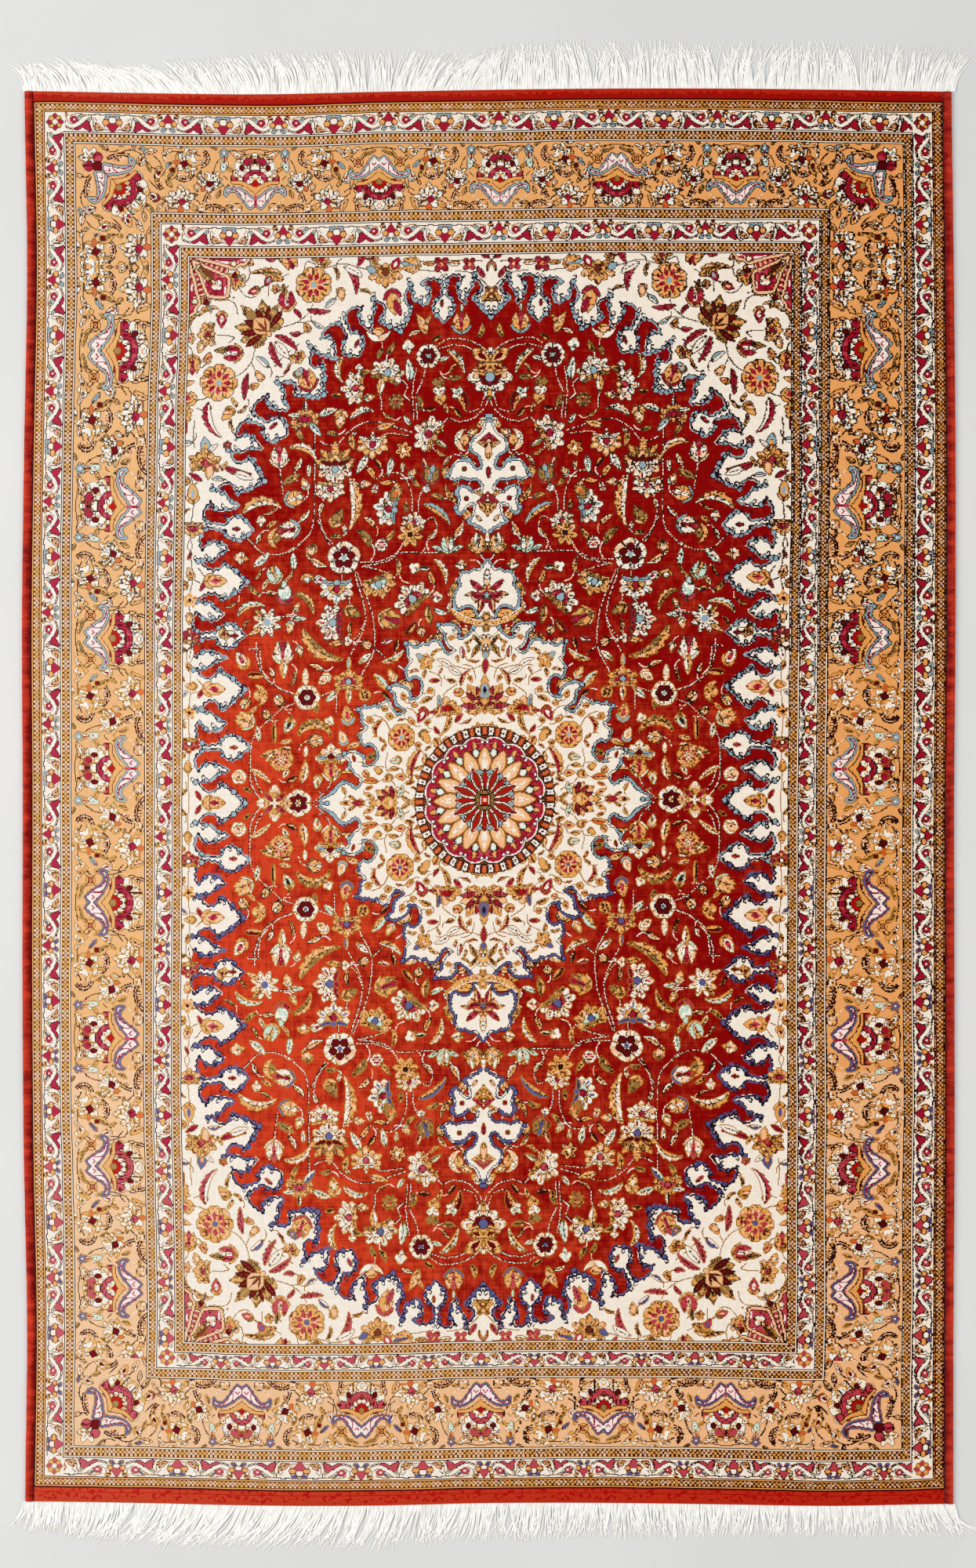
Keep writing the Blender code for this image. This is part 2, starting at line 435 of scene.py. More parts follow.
def tulip(chart, x, y, turn, size, inks):
    """A cup of two outer petals round a heart, with two thin sepals spreading at its foot."""
    patch, u, v = near(chart, x, y, turn, size)
    v = v + size * 0.5
    for side in (-1, 1):
        sepal = turned(u, v, side * 48)
        dye(patch, petal(*sepal, size * 0.55, size * 0.14), inks[2] + inks[3])
    dye(patch, petal(u, v - size * 0.1, size * 0.8, size * 0.34, 1.1), inks[1] + inks[3])
    for side in (-1, 1):
        outer_u, outer_v = turned(u, v - size * 0.1, side * 14)
        bow = side * size * 0.1 * np.sin(np.pi * np.clip(outer_v / size, 0, 1) * 1.3)
        dye(patch, petal(outer_u - bow, outer_v, size * 0.78, size * 0.26, 0.9), inks[0] + inks[3])
    dye(patch, petal(u, v - size * 0.18, size * 0.42, size * 0.16), inks[1])
    patch[(np.abs(u) < 0.5) & (v > size * 0.2) & (v < size * 0.6) & (v % 4 < 2.6)] = INK["k"]


def bud(chart, x, y, turn, size, inks):
    """A closed bud, a drop inside it, and a pair of leaves at its foot."""
    patch, u, v = near(chart, x, y, turn, size)
    v = v + size * 0.5
    for side in (-1, 1):
        dye(patch, petal(*turned(u, v, side * 42), size * 0.5, size * 0.2), inks[2] + inks[3])
    dye(patch, petal(u, v - size * 0.16, size * 0.84, size * 0.5, 0.8), inks[0] + inks[3])
    dye(patch, petal(u, v - size * 0.26, size * 0.48, size * 0.22, 0.9), inks[1])


def leaf(chart, x, y, turn, size, inks, bend=0, width=0.34):
    """A pointed leaf in two tones, with a broken dark rib."""
    patch, u, v = near(chart, x, y, turn, size)
    u, v = bent(u, v, size, bend)
    shape = petal(u, v, size, size * width, 0.85)
    dye(patch, shape, inks[0] + inks[2])
    patch[shape & (u > 0)] = INK[inks[1]]
    patch[shape & (np.abs(u) < 0.5) & (v < size * 0.75) & (v % 5 < 3.6)] = INK["k"]


def feather(chart, x, y, turn, size, inks, bend=70, width=0.26):
    """A long leaf, toothed along its outer side, plain along the inner one."""
    patch, u, v = near(chart, x, y, turn, size)
    u, v = bent(u, v, size, bend)
    teeth = 1 - 0.45 * ((v / size * 6) % 1) * (v < size * 0.86)
    outer = petal(u, v, size, size * width * teeth, 0.8) & (u * bend < 0)
    inner = petal(u, v, size, size * width * 0.7, 0.8) & (u * bend >= 0)
    dye(patch, outer | inner, inks[0] + inks[2])
    patch[inner] = INK[inks[1]]
    patch[(np.abs(u) < 0.5) & (v > 2) & (v < size * 0.8) & (v % 6 < 4.4)] = INK["k"]


def crescent(chart, x, y, turn, size, inks, bend=150):
    """A crescent that holds a small bud in its hollow."""
    patch, u, v = near(chart, x, y, turn, size)
    across, along = bent(u, v, size * 1.25, bend)
    dye(patch, petal(across, along, size * 1.25, size * 0.26), inks[0] + inks[2])
    hollow = math.copysign(size * 0.3, bend)
    dye(patch, petal(u - hollow, v + size * 0.25, size * 0.5, size * 0.36), inks[1] + inks[2])


def trefoil(chart, x, y, turn, size, inks):
    """Three round lobes on a small foot."""
    patch, u, v = near(chart, x, y, turn, size)
    dye(patch, petal(u, v + size * 0.55, size * 0.6, size * 0.3), inks[1] + inks[2])
    lobes = np.zeros(u.shape, bool)
    for angle in (-100, 0, 100):
        lobe_u, lobe_v = turned(u, v, angle, size * 0.2)
        lobes |= np.hypot(lobe_u, lobe_v) < size * 0.21
    dye(patch, lobes, inks[0] + inks[2])
    dye(patch, np.hypot(u, v) < size * 0.1, inks[1])


def stack(chart, x, y, turn, size, inks):
    """Three small tulips, each growing out of the one below."""
    lift = turned(np.array(0.0), np.array(1.0), -turn)
    for step, ink in zip((-1, 0, 1), inks[:3]):
        place = (x + step * size * 0.28 * lift[0], y + step * size * 0.28 * lift[1])
        patch, u, v = near(chart, *place, turn, size)
        v = v + size * 0.2
        cup = petal(u, v, size * 0.42, size * 0.42, 1.2)
        cup &= ~petal(u, v - size * 0.26, size * 0.3, size * 0.12)
        dye(patch, cup, ink + inks[3])
        patch[(np.abs(u) < 0.5) & (v > size * 0.08) & (v < size * 0.22)] = INK[inks[3]]


def horn(chart, x, y, turn, size, inks, bend=60):
    """A curved dark horn with a pale cup on its mouth and a light outer side."""
    patch, u, v = near(chart, x, y, turn, size)
    across, along = bent(u, v, size, bend)
    dye(patch, petal(across, along, size, size * 0.4, 1.3) & (along < size * 0.8), inks[1] + inks[3])
    light = petal(across * np.sign(bend) - size * 0.05, along, size, size * 0.16, 1.2)
    dye(patch, light & (along < size * 0.72), inks[0])
    ahead = along - size * 0.68
    mouth = size * (0.16 + 0.14 * np.clip(ahead / size * 3, 0, 1))
    dye(patch, (np.abs(across) < mouth) & (ahead > 0) & (ahead < size * 0.2), inks[2] + inks[3])
    dye(patch, petal(across, ahead, size * 0.42, size * 0.14), inks[2] + inks[3])


def lotus(chart, x, y, turn, size, inks):
    """A great flower seen from the side: toothed petals behind, dark spearheads on them, and a
    tall cup in front. Silks: petals, cup, spearheads, the cup's marks, edges."""
    patch, u, v = near(chart, x, y, turn, size)
    v = v + size * 0.36
    behind = [(side * angle, length) for angle, length in ((98, 0.5), (66, 0.66), (36, 0.76))
              for side in (-1, 1)]
    for angle, length in behind + [(0, 0.86)]:
        dye(patch, petal(*turned(u, v, angle), size * length, size * 0.3, 1.1, 4), inks[0] + inks[4])
    for angle in (-82, 82, -50, 50, -20, 20):
        across, ahead = turned(u, v, angle)
        dye(patch, petal(across, ahead - size * 0.12, size * 0.48, size * 0.13, 1.1), inks[2] + "k")
        vein = (np.abs(across) < 0.5) & (ahead > 2) & (ahead < size * 0.6)
        patch[vein & (ahead % 5 < 3.4)] = INK["u"]
    dye(patch, petal(u, v + size * 0.06, size * 0.5, size * 0.42, 0.9), inks[1] + inks[4])
    for side in (-1, 1):
        dye(patch, petal(*turned(u, v, side * 35), size * 0.3, size * 0.05), inks[3])
    dye(patch, petal(u, v, size * 0.34, size * 0.08), inks[3])
    dye(patch, petal(*turned(u, v, 180), size * 0.16, size * 0.1), inks[1] + inks[4])


FLOWERS = (rosette, star, palmette, tulip, bud, trefoil, stack, horn, lotus)
MOTIFS = {motif.__name__: motif for motif in (*FLOWERS, leaf, feather, crescent)}


def draw(chart, motifs):
    """Draws motifs from text, one after another, so that a later one covers an earlier one.
    Each is named with its place, turn, size and silks, then its petals or bend and its width."""
    for row in motifs.split(","):
        name, x, y, turn, size, inks, *more = row.split()
        MOTIFS[name](chart, float(x), float(y), float(turn), float(size), inks, *map(float, more))


def places(text):
    """Lines of places from text: across,up for each place, and a semicolon after each line."""
    return [[[float(part) for part in place.split(",")] for place in line.split()]
            for line in text.split(";")]


def vine(chart, points, inks="wk"):
    """A thin stem of one light knot with a dark one under it, broken here and there."""
    path = np.array(points, float)
    stroke(chart, path + (0.7, -0.8), inks[1], 1.0)
    mask = stroke(chart, path, inks[0], 1.0)
    row, column = np.nonzero(mask)
    gaps = (row + column) % 4 == 0
    chart[row[gaps], column[gaps]] = INK[inks[1]]


def sow(chart, ground, stem, reaches, spacing, seed, choices):
    """Fills the empty ground with motifs, the largest first: spots on a loosely shaken grid
    each get one, turned anyhow on a short curved stem, if all the knots within reach are still
    bare. A choice gives a motif, its size over the reach, its silks and its bend."""
    random = np.random.default_rng(seed)
    high, wide = chart.shape
    grid = np.meshgrid(np.arange(3, wide, spacing), np.arange(3, high, spacing))
    for reach in reaches:
        spots = np.stack([axis.ravel() + random.uniform(0, spacing, axis.size) for axis in grid], -1)
        for number in random.permutation(len(spots)):
            x, y = spots[number]
            patch, u, v = near(chart, x, y, 0, reach)
            turn = random.uniform(0, 360)
            motif, growth, *settings = choices[random.integers(len(choices))]
            if patch.size and (patch[np.hypot(u, v) < reach] == INK[ground]).all():
                bow = (-1) ** number * reach
                trail = [(0, 0), (0, -reach), (bow * 0.3, -reach * 1.6), (bow * 0.9, -reach * 1.9)]
                stroke(chart, placed(trail, x, y, turn), stem, over=ground)
                motif(chart, x, y, turn, growth * reach, *settings)


# ---------------------------------------------------------------------------------------
# Field of the chart: red silk ground, ivory corners, flowers on thin stems. It is charted as
# one quarter, from the rug's middle outwards, and woven mirrored in the other three. Places are
# in knots from the middle: to the side, and along the rug.

QUARTER_WIDTH = 336
QUARTER_LENGTH = 607

# The red medallion ends in a flame edge: ivory lancets point inwards, every other one on a
# narrow neck, with curled red tongues between them.
LANCETS = [
    # (tip to the side, tip along, way out: degrees from the side towards the end), necked first
    (261, -62, 0), (268, 0, 0), (261, 62, 0), (269, 127, 0), (267, 187, 0), (268, 247, 0),
    (260, 306, 4), (251, 360, 14), (224, 410, 27), (186, 456, 46), (146, 496, 64), (101, 525, 77),
    (53, 533, 90), (0, 540, 90), (-53, 533, 90),
]
# The edge of one tongue, from the tip of a necked lancet to the tip of a broad one.
TONGUE = [
    # (depth outwards from the line of the tips, share of the way between the two tips)
    (0, 0.0), (5, 0.07), (10, 0.15), (16, 0.21), (23, 0.2), (29, 0.14), (32, 0.05), (41, 0.04),
    (50, 0.035), (56, 0.09), (59, 0.2), (58, 0.34), (54, 0.44), (52, 0.41), (50, 0.35),
    (45, 0.3), (38, 0.29), (31, 0.33), (24, 0.4), (22, 0.43), (29, 0.45), (35, 0.52),
    (39, 0.59), (46, 0.62), (52, 0.61), (54, 0.59), (52, 0.66), (46, 0.75), (40, 0.8),
    (33, 0.79), (29, 0.73), (27, 0.645), (23, 0.69), (17, 0.75), (10, 0.82), (5, 0.91),
]
UPPER_DEPTH = 0.86
# Blue knobs, each with a small curl, notch the sides of the lancets: share of the way to the
# next tip, depth, size.
KNOB_CURL = np.array([(0, 0), (3, 2), (4, 5), (2, 7), (0, 5)]) * 0.8
NECKED_KNOBS = (
    (0.14, 30, 2.2), (0.07, 53, 2.4), (0.155, 10, 2.6), (0.22, 20, 1.9), (0.33, 36, 2.1),
    (0.48, 31, 2.4), (0.31, 47, 2.4),
)
BROAD_KNOBS = (
    (0.0, -2, 2.9), (0.33, 27, 1.7), (0.2, 12, 2.9), (0.09, 4, 1.9), (0.3, 22, 2.0),
    (0.4, 44, 2.2), (0.36, 56, 2.6),
)


def flame_point(station, depth):
    """A place on the flame edge: out from the line of the tips by the depth, along the
    lancets' own direction, both read between the two nearest lancets."""
    x, y, angle = (np.interp(station, range(len(LANCETS)), line) for line in zip(*LANCETS))
    depth = depth * np.interp(angle, (0, 30), (1.0, UPPER_DEPTH))
    return x + depth * math.cos(math.radians(angle)), y + depth * math.sin(math.radians(angle))


flame = []
for gap in range(len(LANCETS) - 1):
    if gap % 2 == 0:
        flame += [flame_point(gap + share, depth) for depth, share in TONGUE]
    else:
        back = [(0, 1.0)] + TONGUE[:0:-1]
        flame += [flame_point(gap + 1 - share, depth) for depth, share in back]

quarter = np.full((QUARTER_LENGTH, QUARTER_WIDTH), INK["i"], np.uint8)
flame_edge = ragged(smooth(flame + [(-80, 533), (-80, -62)], closed=True), 2.8, 6.4)
red_part = within(quarter.shape, flame_edge)
quarter[red_part] = INK["."]
ribbon(quarter, ~grow(red_part), "inb")
for gap in range(1, len(LANCETS) - 1):
    for share, depth, size in BROAD_KNOBS if gap % 2 else NECKED_KNOBS:
        for side in (-1, 1):
            spot(quarter, *flame_point(gap + side * share, depth), size, "bn")
            foot = flame_point(gap + side * share, depth + 2)
            stroke(quarter, KNOB_CURL * (side, 1) + foot, "n")

# White stems of the red ground, then the flowers and leaves that sit on them.
for points in places("""
    62,505 48,514 32,514 16,509 4,500; 58,503 44,507 26,505 14,496; 0,448 6,436 18,425 34,422 46,427;
    46,427 52,418 51,410; 5,451 10,437 20,433 27,434; 84,426 86,450 85,468 82,482;
    80,426 82,450 76,466 72,480; 100,470 92,462 95,452 88,446;
    86,411 100,415 120,422 138,423 155,414 168,399; 88,407 104,409 118,408 130,398;
    168,399 180,399 188,403; 84,324 86,345 95,363 109,366 124,360; 78,322 76,340 70,350;
    66,314 60,315 56,306; 95,277 75,277 50,276; 72,277 66,286; 141,268 120,268 100,277 94,288;
    138,263 118,266 104,272 95,285; 138,263 118,258 102,250; 193,430 194,390 193,345 196,305 211,287;
    211,287 230,278 250,280 268,298; 197,300 214,284 226,279; 188,322 184,304 175,288;
    191,318 180,298 172,289; 215,279 216,268; 146,257 143,244 136,222 135,196 150,165;
    144,256 130,222 125,200 124,170 139,140; 135,200 142,186 152,178; 124,172 112,162; 160,256 161,246;
    150,250 152,228 150,218; 228,209 214,208; 254,180 254,164 246,143 229,129 212,122;
    251,172 248,150 240,139; 262,172 246,173; 186,118 170,124 162,128; 166,122 165,102;
    212,112 228,104 239,94 250,84 259,68 261,46 259,21 249,4; 257,36 253,22 247,12; 171,24 176,15 190,1;
    181,10 184,14; 218,102 215,97; 122,460 120,436; 178,356 188,342; 232,373 230,358 228,346;
    110,345 96,343
"""):
    vine(quarter, points)
draw(quarter, """
    tulip 33 533 0 28 gcbs, leaf 33 549 0 9 mms, leaf 76 531 25 26 ggs 30, leaf 70 536 -30 12 ggs,
    leaf 10 523 -15 17 oos 60, leaf 60 515 -60 12 oks, rosette 69 495 0 27 wdbs, leaf 51 492 -70 13 wms,
    feather 35 491 -144 36 mgs -60, trefoil 92 507 10 16 wms, leaf 90 480 5 26 mws 20,
    leaf 77 443 10 16 oos 40, horn 30 447 30 30 gdms 60, stack 56 456 8 32 gwos, leaf 48 437 -160 12 ggs,
    palmette 72 411 60 30 wwcgs, leaf 53 397 -120 16 oms, leaf 92 424 35 14 mws,
    crescent 35 401 0 26 wgs -150, star 95 391 15 19 gwk 6, leaf 47 378 145 12 wos, leaf 72 376 15 14 wcs,
    tulip 64 364 -15 26 obcs, trefoil 69 347 165 10 wbs, feather 54 322 -128 40 bgs -55,
    leaf 91 328 5 13 oos, leaf 104 345 -15 24 gos 30, palmette 82 314 -10 20 wPcgs,
    star 86 297 0 28 gks 7, tulip 44 286 5 22 mgms, leaf 33 281 -60 14 mms -60, leaf 55 281 60 14 mms 60,
    trefoil 29 262 90 14 wos, trefoil 80 260 60 15 wgs, leaf 69 259 -95 12 mks,
    feather 48 257 -155 32 wgs -70, palmette 86 230 40 31 wcbos, trefoil 55 227 -90 15 wcs,
    leaf 51 210 -110 16 wms 20, leaf 64 206 190 22 gos 30, leaf 83 193 -40 18 ods, leaf 104 201 30 15 gws,
    tulip 215 340 -75 25 gwbs, feather 252 337 -83 50 gws -110, trefoil 252 316 0 13 wms,
    leaf 240 312 -60 14 ggs -60, tulip 222 305 100 28 wcbs, crescent 241 296 0 22 gos -140,
    trefoil 274 274 80 16 wgs, leaf 250 272 -48 24 mws 15, rosette 159 273 0 36 wdbs 5,
    bud 168 317 -30 22 oogs, leaf 159 304 -160 12 wws, palmette 176 345 180 24 wwcgs,
    feather 147 332 180 60 gws -60, palmette 116 327 80 28 wmcbs, bud 103 343 -50 18 oqos,
    bud 126 349 -20 11 wcws, rosette 118 286 0 14 wcgs 6, leaf 108 296 -35 16 ogs,
    bud 196 281 140 17 gwos, tulip 236 256 20 24 mggs, leaf 246 244 150 14 wgs, leaf 215 270 5 20 wms,
    crescent 199 254 90 16 gms 150, bud 184 249 -100 15 wcms, palmette 166 233 180 28 wgcbs,
    palmette 118 238 200 27 gmbos, bud 224 235 5 28 mmcs, feather 197 226 -140 36 gos -95,
    feather 263 221 -70 36 mgs -95, star 243 202 0 32 wbs 8, leaf 256 192 120 16 ggs,
    leaf 252 212 50 14 ogs, leaf 207 206 -90 16 wms, palmette 176 201 90 30 wwbcs,
    bud 148 212 -120 20 oogs, tulip 106 203 -110 30 ocgs, trefoil 153 180 -90 12 wcs,
    leaf 166 178 95 16 ggs, feather 186 170 -128 62 gos 75, tulip 225 170 0 30 wcms,
    leaf 224 150 180 22 gws, bud 271 160 35 22 wcgs, leaf 255 143 -90 20 gds,
    crescent 246 122 10 24 ggs 140, rosette 198 118 0 28 wdbs, leaf 200 141 0 20 wws,
    bud 179 138 130 17 wgws, palmette 152 139 0 24 gcbgs, leaf 152 119 180 18 gws, leaf 152 156 0 14 gbs,
    leaf 134 161 -50 18 mws, feather 101 160 -60 30 gms 60, leaf 116 135 40 24 mgs 20,
    rosette 134 120 0 13 gkgs 5, leaf 170 119 -50 18 wms, leaf 110 179 -80 14 wcs, leaf 82 216 20 12 ggs,
    crescent 125 516 90 26 wgs -130, feather 170 482 180 32 wgs 100, palmette 155 461 90 27 wwcgs,
    leaf 171 454 90 12 oks, palmette 113 482 -20 28 wwbos, leaf 122 462 175 22 gws,
    trefoil 146 484 0 10 wws, leaf 139 479 -70 14 oos -40, star 104 445 0 17 ocs 8,
    palmette 205 432 0 24 gccgs, leaf 217 433 90 14 wms, leaf 193 416 -140 20 mbs, leaf 205 443 0 12 wks,
    leaf 180 436 -70 22 mws -30, bud 166 427 170 22 gwgs, feather 143 436 -75 32 wms -100,
    leaf 152 409 140 12 wws, leaf 116 418 -75 20 ggs, palmette 130 393 180 26 gwcws,
    leaf 130 408 0 10 wws, leaf 141 376 150 24 mws, tulip 233 388 0 28 wcws, leaf 219 362 -60 22 oos,
    feather 203 395 -120 38 wgs -100, leaf 200 371 180 14 wws, lotus 171 385 0 36 ggoks,
    palmette 171 366 180 28 wwbds, leaf 153 401 -170 18 oos 30, leaf 110 373 170 20 mws,
    leaf 96 372 180 12 wws, bud 153 97 10 22 gcbs, leaf 146 64 110 16 ggs 30, tulip 268 93 60 26 ggms,
    leaf 252 78 10 17 wms, feather 248 31 -125 28 wgs -20, leaf 234 80 0 26 gks 0 0.16,
    leaf 221 69 -80 14 ggs, rosette 226 49 0 26 gccs 9, star 226 49 0 11 wcs 6, leaf 241 55 110 18 gos,
    leaf 238 51 130 14 wos, leaf 221 61 90 12 wcs, bud 221 33 150 11 wkws, bud 218 87 150 19 mkgs,
    feather 188 88 -95 50 ogs -150, trefoil 173 91 -30 13 wgs, leaf 199 58 0 13 wws,
    leaf 200 35 -10 26 wgs 30, palmette 171 56 0 23 wwdgs 5, leaf 181 51 90 12 bbs,
    leaf 161 51 -90 12 bbs, tulip 171 36 0 24 gcws, bud 186 24 170 15 mggs, star 233 0 45 38 gws 4,
    rosette 207 0 90 30 wdgs 6, leaf 226 7 -45 14 ccs, leaf 240 7 45 14 ccs, trefoil 233 15 0 13 wgs,
    trefoil 248 0 90 13 wgs, star 219 0 0 10 pcs 6, rosette 273 29 0 16 wgds 5, leaf 264 15 60 10 oos,
    leaf 258 104 -40 12 ggs, bud 158 72 20 17 wgbs, leaf 163 33 -20 12 gws, leaf 187 106 -20 12 oos
""")

# The great flower on the axis near the tip of the medallion.
for angle in (-52, 52, -128, 128):
    patch, u, v = near(quarter, 0, 487, angle, 24)
    dye(patch, petal(u, v, 24, 12, 1.3), "gos")
    dye(patch, petal(u, v - 4, 14, 6, 1.3), "d")
trefoil(quarter, 0, 499, 0, 13, "wos")
palmette(quarter, 0, 462, 180, 34, "wdcgs", 5)
spot(quarter, 0, 471, 5, "bn")
leaf(quarter, 0, 451, 180, 14, "ogs")
sow(quarter, ".", "w", (13, 10.5, 8.5, 7), 5, 41, [
    (feather, 2.1, "ggs", 80), (bud, 1.7, "gwms"), (leaf, 2.0, "wgk", 40), (tulip, 1.9, "gwok"),
    (leaf, 2.0, "ggk", -50), (leaf, 1.9, "oos", 60), (feather, 2.1, "gok", -80), (leaf, 1.9, "gkk", 30),
])

# The field's ivory corners: gold rosettes, a lotus and crimson leaves on thin olive stems.
for points in places("""
    198,556 204,545 216,536 232,531 246,530; 216,536 206,536 196,537; 262,508 266,492 276,480 288,474;
    266,492 262,484; 226,590 240,583 258,575; 262,570 252,578; 248,566 249,578; 291,514 286,520 304,522;
    150,596 165,600 185,596 196,598; 196,600 206,603 208,594 202,592; 135,592 150,596;
    324,440 314,436 308,440 312,446; 326,426 328,408 326,396; 100,601 70,600 40,602 10,600;
    92,590 70,590 56,588; 40,590 20,586 4,572 0,562;
    328,380 329,360 327,330 330,300 328,270 326,250 330,225 326,195 329,160 327,130 330,95 328,60
    330,30 328,0;
    320,262 312,252 300,247; 327,250 318,246; 320,138 312,130 300,127; 326,122 318,124; 318,6 310,0 298,0;
    222,505 232,496 240,488 231,490
"""):
    stroke(quarter, points, "s")
draw(quarter, """
    rosette 198 577 0 40 gcbs 8, rosette 301 469 20 41 gcbs 8, lotus 262 538 45 47 oGdus,
    feather 251 593 88 34 gos 30, leaf 243 587 70 24 ogs, bud 249 583 150 15 cbgs,
    bud 265 571 110 14 cgos, tulip 228 561 5 27 cwgs, leaf 231 572 10 14 oos,
    feather 152 583 -160 36 ccs -70, leaf 153 592 -120 24 iis -40, palmette 118 584 180 28 ggugs,
    bud 133 592 60 14 bbgs, bud 107 598 -30 17 cwgs, bud 167 566 190 15 gpgs,
    feather 192 547 -95 28 ccs 35, bud 300 539 180 19 cwgs, bud 205 530 30 12 gugs,
    feather 226 515 -125 32 ccs -45, feather 241 499 -155 32 ccs 40, leaf 232 505 -140 26 iis,
    tulip 288 502 90 26 cwgs, leaf 299 505 95 16 oos, palmette 318 522 95 20 ggcgs,
    bud 322 508 160 14 gwgs, feather 272 464 175 31 ccs 20, bud 257 477 40 14 gwgs,
    bud 290 434 140 18 ggos, feather 311 425 -160 46 cis 80, bud 314 398 10 20 bggs,
    palmette 315 384 0 26 ggcos, leaf 306 396 -50 13 iis, bud 310 370 170 18 ggcs,
    feather 279 369 -105 34 ccs 35, leaf 272 365 -110 22 iis, leaf 325 363 60 16 ccs,
    leaf 294 376 -30 12 ggs, tulip 91 597 80 24 gbgs, star 56 597 0 19 cgs 4, leaf 70 598 90 14 ggs,
    leaf 42 598 90 14 gis, star 25 597 0 16 cgs 4, leaf 12 588 30 15 ccs, bud 4 567 180 10 ggos,
    palmette 0 563 0 15 gugos 5, leaf 55 553 180 9 ccs, bud 109 556 190 30 ggcs, leaf 104 549 200 20 ccs,
    tulip 204 473 20 30 gccs, bud 213 480 -40 14 bgos, leaf 149 510 160 10 ccs, leaf 240 421 130 11 ccs,
    bud 328 345 0 22 gbgs, palmette 327 303 180 18 gccgs, leaf 330 287 0 12 iis, leaf 330 275 160 9 ccs,
    bud 329 256 20 14 gugs, leaf 314 243 150 15 ccs, star 329 226 0 16 gkgs 5, bud 329 205 180 13 gpgs,
    palmette 329 187 0 18 ccwgs, leaf 328 165 170 20 iis, leaf 330 152 10 12 ggs, bud 327 130 90 14 ggos,
    leaf 316 122 150 14 ccs, star 329 100 0 15 gkgs 5, palmette 329 62 180 18 ccwgs, bud 330 40 0 14 ggos,
    leaf 318 8 30 13 ccs, bud 301 248 -90 26 gcgs, bud 301 127 -90 26 gcgs, bud 300 0 -90 26 gcgs,
    leaf 279 306 90 10 ccs, leaf 279 187 90 10 ccs, leaf 279 62 90 10 ccs, star 290 400 0 9 cgs 5,
    leaf 283 447 30 12 ggs, leaf 244 548 -20 12 ggs
""")

sow(quarter, "i", "s", (14, 11.5, 9.5, 8, 6.5), 5, 43, [
    (feather, 2.2, "cgs", 80), (tulip, 1.8, "gcgs"), (leaf, 2.1, "gos", 50), (feather, 2.2, "gos", -90),
    (bud, 1.7, "gcgs"), (leaf, 2.0, "ccs", -60), (palmette, 1.7, "ggcgs"), (leaf, 2.0, "bis", 40),
    (star, 1.6, "gcs", 6),
])

# A quarter fan in each corner: three crimson lobes edged in peach, with dark red between them.
HALF_LOBE = [(2, 6), (8, 22), (13, 34), (16.5, 43), (15, 48), (10, 53), (5, 58)]
FAN_LOBE = [*HALF_LOBE, (0, 60), *[(-x, y) for x, y in HALF_LOBE[::-1]]]
SIDE_LOBE = [(5, 7), (20, 33), (26, 43), (33, 45), (38, 48), (46, 47), (48, 45), (8, 8)]
patch, u, v = near(quarter, QUARTER_WIDTH, QUARTER_LENGTH, 225, 80)
wedge = (np.hypot(u, v) < 44) & (np.abs(u) < v * 1.2)
dye(patch, wedge, "ck")
patch[wedge & (np.hypot(u, v) % 6 < 2)] = INK["p"]
patchy = hash_noise(np.arange(QUARTER_WIDTH) / 4, np.arange(QUARTER_LENGTH)[:, None] / 4, 22) < 0.25
for outline, side in ((SIDE_LOBE, -1), (SIDE_LOBE, 1), (FAN_LOBE, 1)):
    line = smooth(placed(outline, QUARTER_WIDTH, QUARTER_LENGTH, 225, side), closed=True)
    lobe = within(quarter.shape, ragged(line, 1.0, 5.0))
    dye(quarter, lobe, "pk")
    quarter[~grow(~lobe, 3)] = INK["u"]
    quarter[~grow(~lobe, 4)] = INK["P"]
    quarter[(patchy & ~grow(~lobe, 4)) | ~grow(~lobe, 7)] = INK["c"]
for side, ahead, radius, inks in ((21.9, 48, 2.6, "dk"), (0, 15, 2.6, "wos"), (30, 38, 2.4, "wos")):
    dye(patch, np.hypot(np.abs(u) - side, v - ahead) < radius, inks)
leaf(quarter, QUARTER_WIDTH - 19, QUARTER_LENGTH - 19, 225, 26, "ous")
trefoil(quarter, QUARTER_WIDTH - 30, QUARTER_LENGTH - 30, 225, 15, "wgk")
for side, ahead in ((-24, 55), (24, 55)):
    across, up = turned(side, ahead, -225)
    leaf(quarter, QUARTER_WIDTH + across, QUARTER_LENGTH + up, 225 + side, 11, "gbs")

# ---------------------------------------------------------------------------------------
# Middle of the chart: the ivory cross that hangs from the medallion's tip, the fan below it,
# and the stepped star, each edged in navy and blue. Each outline is one side, from its upper
# tip down.
CROSS, FAN = places("""
    0,425 5,415 9,409 17,402 20,394 18,388 11,385 8,379 7,373 10,369 15,369 19,374 26,378 34,378
    39,372 44,361 38,358 30,360 22,357 14,358 9,355 6,350 7,345 12,342 19,343 24,348 30,350 33,344
    31,336 34,326 30,320 24,327 17,331 14,328 15,320 20,310 14,308 9,305 4,301 0,297;
    0,267 4,261 8,256 14,257 20,253 26,253 31,246 29,240 34,232 36,222 32,214 26,216 20,217 15,215
    11,211 9,205 9,192
""")
